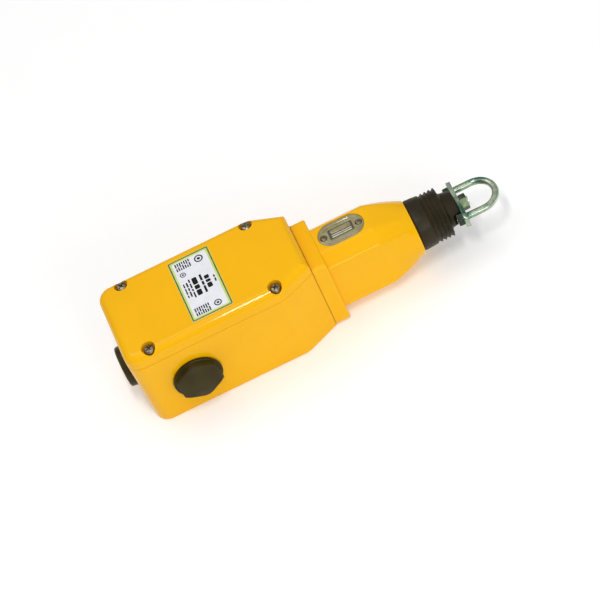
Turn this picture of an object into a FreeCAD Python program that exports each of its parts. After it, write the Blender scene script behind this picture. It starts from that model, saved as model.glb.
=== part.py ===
import FreeCAD, Part
import math
import os
import re

import Sketcher

# Rope-pull safety switch. Millimetres, +Z up. The origin is the centre of the four mounting
# holes in the flat underside. The rope pulls along +X; the conduit side that faces the reader
# is -Y. Everything that moves is drawn with the rope slack.

SIZES = (
    # die-cast box
    ("body_length", 138.0),
    ("body_width", 72.0),
    ("base_height", 62.0),
    ("body_wall", 4.0),
    ("body_floor", 4.0),
    ("end_wall", 6.0),
    ("base_draft", 1.5),
    ("rear_corner_radius", 10.0),
    ("taper_length", 24.0),
    ("taper_end_width", 50.4),
    ("taper_corner_radius", 14.0),
    ("front_corner_radius", 2.0),
    ("foot_edge_radius", 1.5),
    ("axis_height", 31.0),
    # lid
    ("lid_height", 11.5),
    ("lid_edge_radius", 6.0),
    ("lid_pocket_inset", 12.5),
    ("lid_top_thickness", 4.0),
    ("parting_chamfer", 0.5),
    ("lid_screw_side", 5.6),
    ("lid_screw_rear", 18.3),
    ("lid_screw_front", 26.3),
    ("lid_recess_depth", 4.2),
    ("lid_recess_radius", 4.9),
    ("lid_boss_radius", 5.1),
    ("lid_boss_depth", 14.0),
    ("lid_seal_inset", 1.25),
    ("lid_seal_width", 1.5),
    ("lid_seal_height", 1.2),
    ("label_length", 29.8),
    ("label_width", 56.4),
    ("label_thickness", 0.3),
    ("label_centre_x", -1.5),
    ("label_centre_y", -0.1),
    # mounting holes
    ("mount_spacing_x", 100.0),
    ("mount_spacing_y", 44.0),
    ("mount_tap_radius", 2.1),
    ("mount_tap_depth", 8.5),
    ("mount_boss_radius", 6.0),
    ("mount_boss_height", 10.5),
    # screws, as nominal threads and their heads
    ("screw_five_radius", 2.5),
    ("head_five_radius", 4.4),
    ("head_five_height", 3.6),
    ("screw_four_radius", 2.0),
    ("head_four_radius", 4.0),
    ("head_four_height", 3.1),
    ("screw_three_radius", 1.5),
    ("head_three_radius", 2.8),
    ("head_three_height", 2.1),
    ("screw_small_radius", 1.25),
    ("head_small_radius", 2.2),
    ("head_small_height", 1.5),
    ("thread_gap", 0.05),
    ("screw_clearance", 0.25),
    # conduit plugs
    ("side_plug_x", -29.8),
    ("plug_height", 31.0),
    ("side_thread_radius", 12.4),
    ("side_flange_radius", 17.4),
    ("side_hex_radius", 17.2),
    ("end_thread_radius", 9.9),
    ("end_flange_radius", 15.0),
    ("end_hex_radius", 14.8),
    ("plug_thread_length", 9.0),
    ("plug_flange_thickness", 2.0),
    ("side_hex_height", 3.4),
    ("end_hex_height", 4.2),
    ("plug_seal_thickness", 1.0),
    ("plug_seat_depth", 1.2),
    ("plug_seat_gap", 0.3),
    ("plug_boss_depth", 4.0),
    # nose casting
    ("nose_gasket_thickness", 0.6),
    ("nose_gasket_inset", 1.4),
    ("nose_flange_side", 1.2),
    ("nose_flange_margin", 0.8),
    ("nose_flange_depth", 10.5),
    ("nose_flange_corner", 3.5),
    ("nose_flange_edge", 1.2),
    ("nose_width", 40.6),
    ("nose_step", 0.6),
    ("nose_chamfer", 9.1),
    ("nose_edge_radius", 4.0),
    ("nose_straight", 48.5),
    ("nose_length", 75.5),
    ("nose_tip_radius", 19.2),
    ("nose_taper_power", 1.3),
    ("nose_chamber_radius", 15.2),
    ("nose_chamber_length", 69.0),
    ("nose_spigot_radius", 15.0),
    ("nose_spigot_length", 10.5),
    ("nose_screw_side", 6.5),
    ("nose_screw_end", 8.2),
    # window
    ("window_centre", 29.7),
    ("window_length", 33.4),
    ("window_width", 19.8),
    ("window_thickness", 3.0),
    ("window_seal_thickness", 0.6),
    ("window_fit", 0.1),
    ("window_sight_length", 14.5),
    ("window_sight_width", 8.9),
    ("window_sight_depth", 1.0),
    ("window_counterbore", 1.6),
    ("window_land", 3.4),
    ("window_screw_spacing", 26.0),
    # pull shaft and what rides on it
    ("pull_travel", 14.0),
    ("shaft_radius", 5.0),
    ("shaft_tail_radius", 4.0),
    ("shaft_tail_x", -55.0),
    ("shaft_thread_radius", 3.0),
    ("running_gap", 0.05),
    ("collar_start", 16.0),
    ("collar_length", 8.0),
    ("collar_radius", 12.5),
    ("collar_hub_radius", 8.5),
    ("collar_hub_length", 6.0),
    ("indicator_radius", 14.6),
    ("spring_wire_radius", 1.4),
    ("spring_mean_radius", 11.0),
    ("spring_turns", 6.5),
    ("seat_gap", 0.25),
    ("bush_radius", 7.0),
    ("bush_flange_radius", 9.0),
    ("spring_seat_radius", 12.5),
    ("bush_flange_thickness", 2.0),
    # cam
    ("cam_centre", 14.0),
    ("cam_half_length", 27.0),
    ("cam_slope", 0.2),
    ("cam_waist_radius", 5.9),
    ("ring_thickness", 1.0),
    ("ring_play", 0.05),
    ("ring_radius", 7.0),
    ("ring_groove_radius", 3.0),
    # boot
    ("boot_cuff_radius", 18.4),
    ("boot_cuff_length", 11.0),
    ("boot_ridge_radius", 18.0),
    ("boot_valley_radius", 16.6),
    ("boot_ridges_length", 12.0),
    ("boot_neck_radius", 12.6),
    ("boot_neck_end_radius", 11.6),
    ("boot_wall", 1.8),
    ("boot_gap", 0.3),
    # shackle
    ("shackle_start", 32.3),
    ("shackle_plate_thickness", 3.2),
    ("shackle_plate_width", 11.5),
    ("shackle_plate_corner", 2.5),
    ("shackle_rod_radius", 2.5),
    ("shackle_leg_spacing", 25.8),
    ("shackle_leg_length", 12.4),
    ("shackle_thread_tail", 5.0),
    ("nut_five_flats", 8.0),
    ("nut_five_height", 4.0),
    ("nut_six_flats", 10.0),
    ("nut_six_height", 5.0),
    ("shaft_thread_tail", 0.8),
    # inner frame
    ("plate_underside", 11.0),
    ("plate_thickness", 2.0),
    ("plate_rear_x", -41.2),
    ("plate_front_x", 58.5),
    ("plate_width", 50.0),
    ("plate_screw_rear_x", -20.0),
    ("plate_screw_front_x", 54.5),
    ("plate_screw_spacing_y", 30.0),
    ("plate_boss_radius", 4.5),
    ("earth_x", -47.0),
    ("earth_washer_radius", 4.4),
    ("earth_washer_thickness", 0.9),
    ("tail_block_x", -40.0),
    ("tail_block_length", 10.0),
    ("tail_block_width", 24.0),
    ("tail_block_rise", 10.0),
    # contact blocks
    ("contact_slack_offset", -8.0),
    ("contact_pull_offset", 22.0),
    ("contact_length", 28.0),
    ("contact_inner", 12.0),
    ("contact_depth", 13.0),
    ("contact_rise", 11.5),
    ("contact_screw_offset", 8.0),
    ("contact_screw_inset", 3.0),
    ("contact_cover_thickness", 2.0),
    ("contact_wall", 2.5),
    ("contact_cavity_length", 21.0),
    ("contact_cavity_below", 6.5),
    ("contact_cavity_above", 5.5),
    ("plunger_radius", 2.5),
    ("plunger_gap", 0.12),
    ("plunger_neck", 7.2),
    ("plunger_head_radius", 4.0),
    ("plunger_head_length", 1.8),
    ("plunger_tail_radius", 1.5),
    ("plunger_tail_length", 4.0),
    ("bridge_length", 18.0),
    ("bridge_thickness", 1.2),
    ("bridge_height", 5.0),
    ("bridge_button_radius", 1.6),
    ("bridge_button_height", 1.0),
    ("terminal_offset", 7.0),
    ("terminal_width", 4.4),
    ("terminal_thickness", 0.9),
    ("terminal_reach", 9.0),
    ("contact_wire_radius", 0.3),
    ("contact_spring_radius", 2.4),
    ("contact_spring_turns", 3.0),
)

NAMES = {alias for alias, number in SIZES}

doc = FreeCAD.newDocument("rope_pull_switch")
sheet = doc.addObject("Spreadsheet::Sheet", "dims")
for row, (alias, number) in enumerate(SIZES, start=1):
    sheet.set(f"A{row}", alias)
    sheet.set(f"B{row}", str(number))
    sheet.setAlias(f"B{row}", alias)
doc.recompute()

Vector = FreeCAD.Vector
Rotation = FreeCAD.Rotation

# A direction turns a piece that is drawn along +Z.
TURNS = {
    "+x": Rotation(Vector(0, 1, 0), 90),
    "-x": Rotation(Vector(0, 1, 0), -90),
    "+y": Rotation(Vector(1, 0, 0), -90),
    "-y": Rotation(Vector(1, 0, 0), 90),
    "+z": Rotation(),
    "-z": Rotation(Vector(1, 0, 0), 180),
}

NODES = []


# ---------------------------------------------------------------- helpers

def size(alias):
    """The number in one cell of the sheet."""
    return float(sheet.get(alias))


def ref(text):
    """An expression in which each named size points at its cell."""
    pattern = r"[a-z_][a-z0-9_]*"
    return re.sub(pattern, lambda word: link(word.group(0)), text)


def link(word):
    return f"dims.{word}" if word in NAMES else word


def bind(item, **texts):
    for name, text in texts.items():
        item.setExpression(name, ref(text))
    return item


def place(item, at, direction="+z", twist=0.0):
    """Turns a piece to its direction and binds its position."""
    turn = TURNS[direction] * Rotation(Vector(0, 0, 1), twist)
    item.Placement = FreeCAD.Placement(Vector(), turn)
    for letter, text in zip("xyz", at):
        item.setExpression(f"Placement.Base.{letter}", ref(text))
    return item


def node(item, name):
    """Names a finished piece and keeps it for export."""
    item.Label = name
    NODES.append(item)
    return item


def cylinder(at, direction, radius, height):
    item = doc.addObject("Part::Cylinder", "rod")
    bind(item, Radius=radius, Height=height)
    return place(item, at, direction)


def hexagon(at, direction, radius, height, twist=0.0):
    item = doc.addObject("Part::Prism", "hexagon")
    item.Polygon = 6
    bind(item, Circumradius=radius, Height=height)
    return place(item, at, direction, twist)


def block(low, lengths):
    item = doc.addObject("Part::Box", "block")
    bind(item, Length=lengths[0], Width=lengths[1], Height=lengths[2])
    return place(item, low)


def fuse(items):
    item = doc.addObject("Part::MultiFuse", "joined")
    item.Shapes = items
    item.Refine = True
    return item


def cut(base, tools):
    item = doc.addObject("Part::Cut", "cut")
    item.Base = base
    item.Tool = fuse(tools) if len(tools) > 1 else tools[0]
    item.Refine = True
    return item


def group(items):
    item = doc.addObject("Part::Compound", "group")
    item.Links = items
    return item


def origin_plane(body, role):
    return [part for part in body.Origin.OriginFeatures if part.Role == role][0]


def outline(body, role, points):
    """A closed outline of straight lines whose corners are bound to the sheet."""
    sketch = body.newObject("Sketcher::SketchObject", "outline")
    sketch.AttachmentSupport = [(origin_plane(body, role), "")]
    sketch.MapMode = "FlatFace"
    count = len(points)
    spread = [Vector(math.cos(math.tau * i / count), math.sin(math.tau * i / count), 0)
              for i in range(count)]
    for i in range(count):
        sketch.addGeometry(Part.LineSegment(spread[i], spread[(i + 1) % count]))
    for i in range(count):
        sketch.addConstraint(Sketcher.Constraint("Coincident", i, 2, (i + 1) % count, 1))
    for i, corner in enumerate(points):
        for kind, text in zip(("DistanceX", "DistanceY"), corner):
            mark = sketch.addConstraint(Sketcher.Constraint(kind, -1, 1, i, 1, 1.0))
            sketch.setExpression(f"Constraints[{mark}]", ref(text))
    return sketch


def prism(points, height, at, direction="+z", draft=None):
    """An outline in X and Y padded along +Z, with an optional draft."""
    body = doc.addObject("PartDesign::Body", "prism")
    sketch = outline(body, "XY_Plane", points)
    pad = body.newObject("PartDesign::Pad", "pad")
    pad.Profile = sketch
    bind(pad, Length=height)
    if draft:
        bind(pad, TaperAngle=draft)
    place(body, at, direction)
    return body


def turned(profile, at, direction):
    """A lathe profile of (length, radius) corners turned about its own +Z."""
    body = doc.addObject("PartDesign::Body", "turned")
    sketch = outline(body, "XZ_Plane", [(radius, length) for length, radius in profile])
    spin = body.newObject("PartDesign::Revolution", "spin")
    spin.Profile = sketch
    spin.ReferenceAxis = (sketch, ["V_Axis"])
    spin.Angle = 360.0
    return place(body, at, direction)


def dressed(body, kind, test, **sizes):
    """Rounds or bevels the edges of a body's tip that pass a test."""
    doc.recompute()
    tip = body.Tip
    names = [f"Edge{i}" for i, edge in enumerate(tip.Shape.Edges, start=1) if test(edge)]
    dress = body.newObject(f"PartDesign::{kind}", kind)
    dress.Base = (tip, names)
    bind(dress, **sizes)
    doc.recompute()
    return dress


def rounded(body, radius, test):
    return dressed(body, "Fillet", test, Radius=radius)


def bevelled(body, width, test):
    return dressed(body, "Chamfer", test, Size=width)


def upright(edge):
    """True for an edge that climbs."""
    ends = [vertex.Point for vertex in edge.Vertexes]
    return len(ends) == 2 and abs(ends[0].z - ends[1].z) > 0.9 * edge.Length


def level(height):
    """A test for the edges that lie at one height."""
    return lambda edge: all(abs(vertex.Z - height) < 0.01 for vertex in edge.Vertexes)


def pan_screw(at, direction, kind, shank):
    """A pan-head screw with a cross recess; its head grows along its direction."""
    thread, head, rise = f"screw_{kind}_radius", f"head_{kind}_radius", f"head_{kind}_height"
    shape = turned([(f"-({shank})", "0"), (f"-({shank})", thread), ("0", thread), ("0", head),
                    (f"{rise} * 0.6", head), (rise, f"{head} * 0.72"), (rise, "0")],
                   at, direction)
    slots = []
    for along, across in ((0.62, 0.12), (0.12, 0.62)):
        slot = prism([(f"-{head} * {along}", f"-{head} * {across}"),
                      (f"{head} * {along}", f"-{head} * {across}"),
                      (f"{head} * {along}", f"{head} * {across}"),
                      (f"-{head} * {along}", f"{head} * {across}")],
                     f"{rise} * 2", at, direction)
        slots.append(lift(slot, f"{rise} * 0.45"))
    return cut(shape, slots)


def lift(body, distance):
    """Moves a padded body's outline along its own +Z."""
    sketch = body.Group[0]
    sketch.setExpression("AttachmentOffset.Base.z", ref(distance))
    return body


def coil(mean_radius, wire_radius, length, turns):
    """A round-wire compression spring along +Z, from 0 to its length."""
    pitch = (length - 2 * wire_radius) / turns
    path = Part.makeHelix(pitch, pitch * turns, mean_radius)
    path.translate(Vector(0, 0, wire_radius))
    section = Part.makeCircle(wire_radius, Vector(mean_radius, 0, wire_radius), Vector(0, 1, 0))
    sweep = Part.Wire(path).makePipeShell([Part.Wire(section)], True, True)
    return sweep


def feature(shape, at, direction="+z", twist=0.0):
    """A piece drawn with Part's own functions, with its position bound to the sheet."""
    item = doc.addObject("Part::Feature", "drawn")
    item.Shape = shape
    return place(item, at, direction, twist)


# ---------------------------------------------------------------- shared lines

SEAM = "body_length / 2"
NOSE = f"({SEAM} + nose_gasket_thickness)"
TIP = f"({NOSE} + nose_length)"
SHACKLE = f"({TIP} + shackle_start)"
SLOPE = "((body_width - taper_end_width) / 2 / taper_length)"
STRETCH = f"sqrt(1 + {SLOPE} * {SLOPE})"


def plan(inset, end_inset):
    """The box's outline seen from above, moved inwards all round."""
    side = f"(body_width / 2 - {inset})"
    bend = f"({SEAM} - taper_length - {inset} * ({STRETCH} - 1) / {SLOPE})"
    front = f"({SEAM} - {end_inset})"
    narrow = f"(taper_end_width / 2 + {end_inset} * {SLOPE} - {inset} * {STRETCH})"
    rear = f"(-{SEAM} + {inset})"
    return [(rear, f"-{side}"), (bend, f"-{side}"), (front, f"-{narrow}"),
            (front, narrow), (bend, side), (rear, side)]


def corners(rear, front, side):
    """The four places of a rectangular hole pattern, as text."""
    return [(x, f"{sign} * {side}") for x in (rear, front) for sign in (-1, 1)]


def round_box_corners(body):
    """Rounds the box's plan corners: large at the rear, soft where the taper starts."""
    half = size("body_length") / 2
    bend = half - size("taper_length")

    def middle(edge):
        return edge.valueAt((edge.FirstParameter + edge.LastParameter) / 2).x

    rounded(body, "rear_corner_radius", lambda e: upright(e) and middle(e) < -half / 2)
    rounded(body, "taper_corner_radius", lambda e: upright(e) and abs(middle(e) - bend) < 3)
    rounded(body, "front_corner_radius", lambda e: upright(e) and middle(e) > half - 2)


# ---------------------------------------------------------------- box and lid

LID_SCREWS = corners(f"(-{SEAM} + lid_screw_rear)", f"({SEAM} - lid_screw_front)",
                     "(body_width / 2 - lid_screw_side)")
MOUNT_HOLES = corners("(-mount_spacing_x / 2)", "(mount_spacing_x / 2)", "mount_spacing_y / 2")
PLATE_SCREWS = corners("plate_screw_rear_x", "plate_screw_front_x", "plate_screw_spacing_y / 2")
LID_TOP = "(base_height + lid_height)"

# The nose's flange stands inside the box's front face; the nose is a step smaller.
FLANGE_WIDTH = "(taper_end_width - 2 * nose_flange_side)"
FLANGE_HEIGHT = "(2 * (base_height - axis_height - nose_flange_margin))"
NOSE_TOP = f"(axis_height + {FLANGE_HEIGHT} / 2 - nose_step)"
NOSE_SCREWS = [(f"{sy} * ({FLANGE_WIDTH} / 2 - nose_screw_side)",
                f"axis_height + {sz} * ({FLANGE_HEIGHT} / 2 - nose_screw_end)")
               for sy in (-1, 1) for sz in (-1, 1)]

# Each conduit plug: name, place of its seat on the wall, direction, size and turn of its hex.
SIDE_SEAT = "(body_width / 2 - plug_seat_depth)"
END_SEAT = f"({SEAM} - plug_seat_depth)"
PLUGS = (
    ("near_conduit_plug", ("side_plug_x", f"-{SIDE_SEAT}", "plug_height"), "-y", "side", 25.5),
    ("far_conduit_plug", ("side_plug_x", SIDE_SEAT, "plug_height"), "+y", "side", 20.0),
    ("end_conduit_plug", (f"-{END_SEAT}", "0", "plug_height"), "-x", "end", 0.0),
)
OPPOSITE = {"+x": "-x", "-x": "+x", "+y": "-y", "-y": "+y", "+z": "-z", "-z": "+z"}


def make_main_housing():
    """The die-cast base: drafted walls, square front face, open top, tapped underside."""
    shell = prism(plan("0", "-3"), "base_height", ("0", "0", "base_height"), "-z", "-base_draft")
    round_box_corners(shell)
    bevelled(shell, "parting_chamfer", level(0))
    rounded(shell, "foot_edge_radius", level(size("base_height")))
    front = block((SEAM, "-body_width", "-1"), ("20", "body_width * 2", "base_height + 2"))
    hollow = prism(plan("body_wall", "end_wall"), "base_height", ("0", "0", "body_floor"))
    rounded(hollow, "rear_corner_radius - body_wall", at_rear)
    walls = cut(shell, [front, hollow])

    bosses = []
    for x, y in LID_SCREWS:
        bosses.append(cylinder((x, y, "base_height - lid_boss_depth"), "+z", "lid_boss_radius",
                               "lid_boss_depth"))
    for x, y in MOUNT_HOLES:
        bosses.append(cylinder((x, y, "body_floor / 2"), "+z", "mount_boss_radius",
                               "mount_boss_height - body_floor / 2"))
    for x, y in PLATE_SCREWS:
        bosses.append(cylinder((x, y, "body_floor / 2"), "+z", "plate_boss_radius",
                               "plate_underside - body_floor / 2"))
    bosses.append(cylinder(("earth_x", "0", "body_floor / 2"), "+z", "plate_boss_radius",
                           "mount_boss_height - body_floor / 2"))
    for name, seat, way, kind, twist in PLUGS:
        bosses.append(cylinder(along(seat, OPPOSITE[way], "body_wall / 2"), OPPOSITE[way],
                               f"{kind}_flange_radius - 1", "body_wall / 2 + plug_boss_depth"))
    solid = fuse([walls] + bosses)

    holes = []
    outside = cut(block(("-body_length", "-body_width", "-body_width"),
                        ("body_length * 2", "body_width * 2", "body_width * 3")),
                  [prism(plan("0", "0"), "base_height * 3", ("0", "0", "-base_height"))])
    for x, y in LID_SCREWS:
        holes.append(cylinder((x, y, "base_height"), "-z", "screw_four_radius + thread_gap",
                              "lid_boss_depth - 2"))
    for x, y in MOUNT_HOLES:
        holes.append(cylinder((x, y, "0"), "+z", "mount_tap_radius", "mount_tap_depth"))
    for x, y in PLATE_SCREWS:
        holes.append(cylinder((x, y, "plate_underside"), "-z", "screw_four_radius + thread_gap",
                              "plate_underside - body_floor / 2"))
    holes.append(cylinder(("earth_x", "0", "mount_boss_height"), "-z",
                          "screw_four_radius + thread_gap", "mount_boss_height - body_floor / 2"))
    for name, seat, way, kind, twist in PLUGS:
        holes.append(cylinder(seat, way, f"{kind}_flange_radius + plug_seat_gap", "20"))
        holes.append(cylinder(along(seat, way, "1"), OPPOSITE[way],
                              f"{kind}_thread_radius + thread_gap",
                              "body_wall + plug_boss_depth + 3"))
    for y, z in NOSE_SCREWS:
        holes.append(cylinder((f"{SEAM} - end_wall - 1", y, z), "+x",
                              "screw_five_radius + thread_gap", "end_wall + 2"))
    holes.append(cylinder((f"{SEAM} - end_wall - 1", "0", "axis_height"), "+x",
                          "bush_radius + thread_gap", "end_wall + 2"))
    holes.append(seal_ring())
    return node(cut(cut(solid, holes), [outside]), "main_housing")


def along(seat, direction, distance):
    """A place some way from a seat."""
    sign = 1 if direction[0] == "+" else -1
    return [f"{text} + {sign} * ({distance})" if letter == direction[1] else text
            for letter, text in zip("xyz", seat)]


def at_rear(edge):
    return upright(edge) and edge.Vertexes[0].X < -size("body_length") / 4


def seal_ring():
    """The lid seal's ring in the base's rim, which is also its groove."""
    outer = prism(plan("lid_seal_inset", "lid_seal_inset"), "lid_seal_height",
                  ("0", "0", "base_height - lid_seal_height"))
    edge = "(lid_seal_inset + lid_seal_width)"
    inner = prism(plan(edge, edge), "lid_seal_height + 2",
                  ("0", "0", "base_height - lid_seal_height - 1"))
    rounded(outer, "rear_corner_radius - lid_seal_inset", at_rear)
    rounded(inner, "rear_corner_radius - lid_seal_inset - lid_seal_width", at_rear)
    return cut(outer, [inner])


def make_lid():
    """The cast lid: rounded top edge that the four screw recesses cut into."""
    cap = prism(plan("0", "0"), "lid_height", ("0", "0", "base_height"))
    bend = size("body_length") / 2 - size("taper_length")
    rounded(cap, "rear_corner_radius", at_rear)
    rounded(cap, "taper_corner_radius",
            lambda edge: upright(edge) and abs(edge.Vertexes[0].X - bend) < 3)
    rounded(cap, "lid_edge_radius", level(size("lid_height")))
    bevelled(cap, "parting_chamfer", level(0))
    hollow = prism(plan("lid_pocket_inset", "lid_pocket_inset"), "lid_height - lid_top_thickness",
                   ("0", "0", "base_height"))
    tools = [hollow]
    for x, y in LID_SCREWS:
        tools.append(cylinder((x, y, f"{LID_TOP} - lid_recess_depth"), "+z",
                              "lid_recess_radius", "20"))
        tools.append(cylinder((x, y, "base_height - 1"), "+z",
                              "screw_four_radius + screw_clearance", "lid_height"))
    node(cut(cap, tools), "housing_lid")
    node(seal_ring(), "lid_seal")
    screws = [pan_screw((x, y, f"{LID_TOP} - lid_recess_depth"), "+z", "four",
                        "lid_height - lid_recess_depth + lid_boss_depth - 4")
              for x, y in LID_SCREWS]
    node(group(screws), "lid_screws")
    plate = block(("label_centre_x - label_length / 2", "label_centre_y - label_width / 2", LID_TOP),
                  ("label_length", "label_width", "label_thickness"))
    node(plate, "rating_label")


def make_plugs():
    """Hexagon blanking plugs in the three conduit entries, each on a sealing ring."""
    seals = []
    for name, seat, way, kind, twist in PLUGS:
        rim_base = along(seat, way, "plug_seal_thickness")
        rim = cylinder(rim_base, way, f"{kind}_flange_radius", "plug_flange_thickness")
        shank = cylinder(along(rim_base, way, "plug_flange_thickness / 2"), OPPOSITE[way],
                         f"{kind}_thread_radius",
                         "plug_thread_length + plug_seal_thickness + plug_flange_thickness / 2")
        head = hexagon(along(rim_base, way, "plug_flange_thickness / 2"), way,
                       f"{kind}_hex_radius", f"{kind}_hex_height + plug_flange_thickness / 2",
                       twist)
        node(fuse([shank, rim, head]), name)
        ring = cylinder(seat, way, f"{kind}_flange_radius - 1", "plug_seal_thickness")
        eye = cylinder(along(seat, OPPOSITE[way], "1"), way,
                       f"{kind}_thread_radius + thread_gap", "plug_seal_thickness + 2")
        seals.append(cut(ring, [eye]))
    node(group(seals), "conduit_plug_seals")


# ---------------------------------------------------------------- nose

def nose_section(x, mix):
    """The nose cut across X: a chamfered rectangle that turns into a circle as mix grows."""
    half_width = size("nose_width") / 2
    half_height = (size("base_height") - size("axis_height") - size("nose_flange_margin")
                   - size("nose_step"))
    chamfer = size("nose_chamfer")
    tip = size("nose_tip_radius")
    back = size("nose_edge_radius") * math.tan(math.radians(22.5))
    bulge = size("nose_edge_radius") * (1 / math.cos(math.radians(22.5)) - 1)

    upper = [(half_width, half_height - chamfer), (half_width - chamfer, half_height)]
    upper += [(-y, z) for y, z in reversed(upper)]
    points = [Vector(0, y, z) for y, z in upper + [(-y, -z) for y, z in upper]]
    stations = []
    for i, point in enumerate(points):
        before = (points[i - 1] - point).normalize()
        after = (points[(i + 1) % 8] - point).normalize()
        inward = (before + after).normalize()
        stations += [point + before * back, point + inward * bulge, point + after * back]
        stations.append((point + after * back + points[(i + 1) % 8] - after * back) / 2)
    mixed = []
    for spot in stations:
        ring = Vector(spot).normalize() * tip
        mixed.append(Vector(x, 0, 0) + spot * (1 - mix) + ring * mix)
    edges = []
    for i in range(0, len(mixed), 4):
        start, middle, end, half_way = mixed[i:i + 4]
        following = mixed[(i + 4) % len(mixed)]
        edges.append(Part.Arc(start, middle, end).toShape())
        if mix:
            edges.append(Part.Arc(end, half_way, following).toShape())
        else:
            edges.append(Part.makeLine(end, following))
    return Part.Wire(edges)


def nose_skin():
    """The nose's outer form from its rear face: straight octagon, then a round-ended taper."""
    straight = size("nose_straight")
    taper = size("nose_length") - straight
    barrel = Part.makeLoft([nose_section(0, 0), nose_section(straight, 0)], True, True)
    sections = [nose_section(straight, 0)]
    for share in (0.5, 1.0):
        sections.append(nose_section(straight + taper * share, share ** size("nose_taper_power")))
    return barrel.fuse(Part.makeLoft(sections, True, False))


def make_nose():
    """The nose casting: bolted flange, chamber for the spring, window pocket and boot spigot."""
    skin = feature(nose_skin(), (NOSE, "0", "axis_height"))
    flange = prism(flange_outline("0"), "nose_flange_depth", (NOSE, "0", "axis_height"), "+x")
    rounded(flange, "nose_flange_corner", upright)
    rounded(flange, "nose_flange_edge", level(size("nose_flange_depth")))
    spigot = cylinder((f"{TIP} - 2", "0", "axis_height"), "+x", "nose_spigot_radius",
                      "nose_spigot_length + 2")
    solid = fuse([skin, flange, spigot])
    floor = f"({NOSE_TOP} - window_thickness - window_seal_thickness)"
    tools = [
        cylinder((f"{NOSE} - 1", "0", "axis_height"), "+x", "nose_chamber_radius",
                 "nose_chamber_length + 1"),
        cylinder((NOSE, "0", "axis_height"), "+x", "bush_radius + thread_gap",
                 "nose_length + nose_spigot_length + 1"),
        stadium(floor, "window_length + window_fit * 2", "window_width + window_fit * 2", "20"),
        stadium("axis_height", "window_length - window_land * 4",
                "window_width - window_land * 2", f"{FLANGE_HEIGHT} / 2"),
    ]
    for sign in (-1, 1):
        tools.append(cylinder((f"{NOSE} + window_centre + {sign} * window_screw_spacing / 2", "0",
                               floor), "-z", "screw_small_radius + thread_gap", "5"))
    for y, z in NOSE_SCREWS:
        tools.append(cylinder((f"{NOSE} - 1", y, z), "+x", "screw_five_radius + thread_gap",
                              "nose_flange_depth"))
    node(cut(solid, tools), "nose_casting")


def flange_outline(inset):
    """The nose flange's rectangle as drawn before it is turned to face +X."""
    up = f"({FLANGE_HEIGHT} / 2 - {inset})"
    side = f"({FLANGE_WIDTH} / 2 - {inset})"
    return [(f"-{up}", f"-{side}"), (up, f"-{side}"), (up, side), (f"-{up}", side)]


def stadium(bottom, length, width, height):
    """A slot-shaped prism over the window, long along X."""
    bar = block((f"{NOSE} + window_centre - (({length}) - ({width})) / 2", f"-({width}) / 2",
                 bottom), (f"({length}) - ({width})", width, height))
    ends = [cylinder((f"{NOSE} + window_centre + {sign} * (({length}) - ({width})) / 2", "0",
                      bottom), "+z", f"({width}) / 2", height) for sign in (-1, 1)]
    return fuse([bar] + ends)


def make_nose_fittings():
    """Seal between nose and box, its screws, the window with its seal and screws, bushes."""
    sheet_seal = prism(flange_outline("nose_gasket_inset"), "nose_gasket_thickness",
                       (SEAM, "0", "axis_height"), "+x")
    tools = [cylinder((f"{SEAM} - 1", "0", "axis_height"), "+x", "nose_chamber_radius", "4")]
    for y, z in NOSE_SCREWS:
        tools.append(cylinder((f"{SEAM} - 1", y, z), "+x", "screw_five_radius + thread_gap", "4"))
    node(cut(sheet_seal, tools), "nose_seal")
    screws = [pan_screw((f"{SEAM} - end_wall", y, z), "-x", "five",
                        "end_wall + nose_gasket_thickness + nose_flange_depth - 2.5")
              for y, z in NOSE_SCREWS]
    node(group(screws), "nose_screws")

    eyes = [(f"{NOSE} + window_centre + {sign} * window_screw_spacing / 2", "0")
            for sign in (-1, 1)]
    pane = stadium(f"{NOSE_TOP} - window_thickness", "window_length", "window_width",
                   "window_thickness")
    recess = block((f"{NOSE} + window_centre - window_sight_length / 2", "-window_sight_width / 2",
                    f"{NOSE_TOP} - window_sight_depth"),
                   ("window_sight_length", "window_sight_width", "2"))
    tools = [recess]
    for x, y in eyes:
        tools.append(cylinder((x, y, f"{NOSE_TOP} - window_thickness - 1"), "+z",
                              "screw_small_radius + window_fit", "window_thickness + 2"))
        tools.append(cylinder((x, y, f"{NOSE_TOP} - window_counterbore"), "+z",
                              "head_small_radius + screw_clearance", "4"))
    node(cut(pane, tools), "window_pane")
    under = f"({NOSE_TOP} - window_thickness - window_seal_thickness)"
    ring = stadium(under, "window_length", "window_width", "window_seal_thickness")
    tools = [stadium(f"{under} - 1", "window_length - window_land * 4",
                     "window_width - window_land * 2", "window_seal_thickness + 2")]
    for x, y in eyes:
        tools.append(cylinder((x, y, f"{under} - 1"), "+z", "screw_small_radius + window_fit",
                              "window_seal_thickness + 2"))
    node(cut(ring, tools), "window_seal")
    node(group([pan_screw((x, y, f"{NOSE_TOP} - window_counterbore"), "+z", "small",
                          "window_thickness + 3") for x, y in eyes]), "window_screws")

    bore = "shaft_radius + running_gap"
    node(turned([("-bush_flange_thickness", bore), ("end_wall + nose_gasket_thickness", bore),
                 ("end_wall + nose_gasket_thickness", "bush_radius"), ("0", "bush_radius"),
                 ("0", "bush_flange_radius"), ("-bush_flange_thickness", "bush_flange_radius")],
                (f"{SEAM} - end_wall", "0", "axis_height"), "+x"), "rear_bush")
    reach = "nose_length - nose_chamber_length + nose_spigot_length"
    node(turned([("-bush_flange_thickness", bore), (reach, bore), (reach, "bush_radius"),
                 ("0", "bush_radius"), ("0", "spring_seat_radius"),
                 ("-bush_flange_thickness", "spring_seat_radius")],
                (f"{NOSE} + nose_chamber_length", "0", "axis_height"), "+x"), "front_bush")


# ---------------------------------------------------------------- pull shaft

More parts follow.
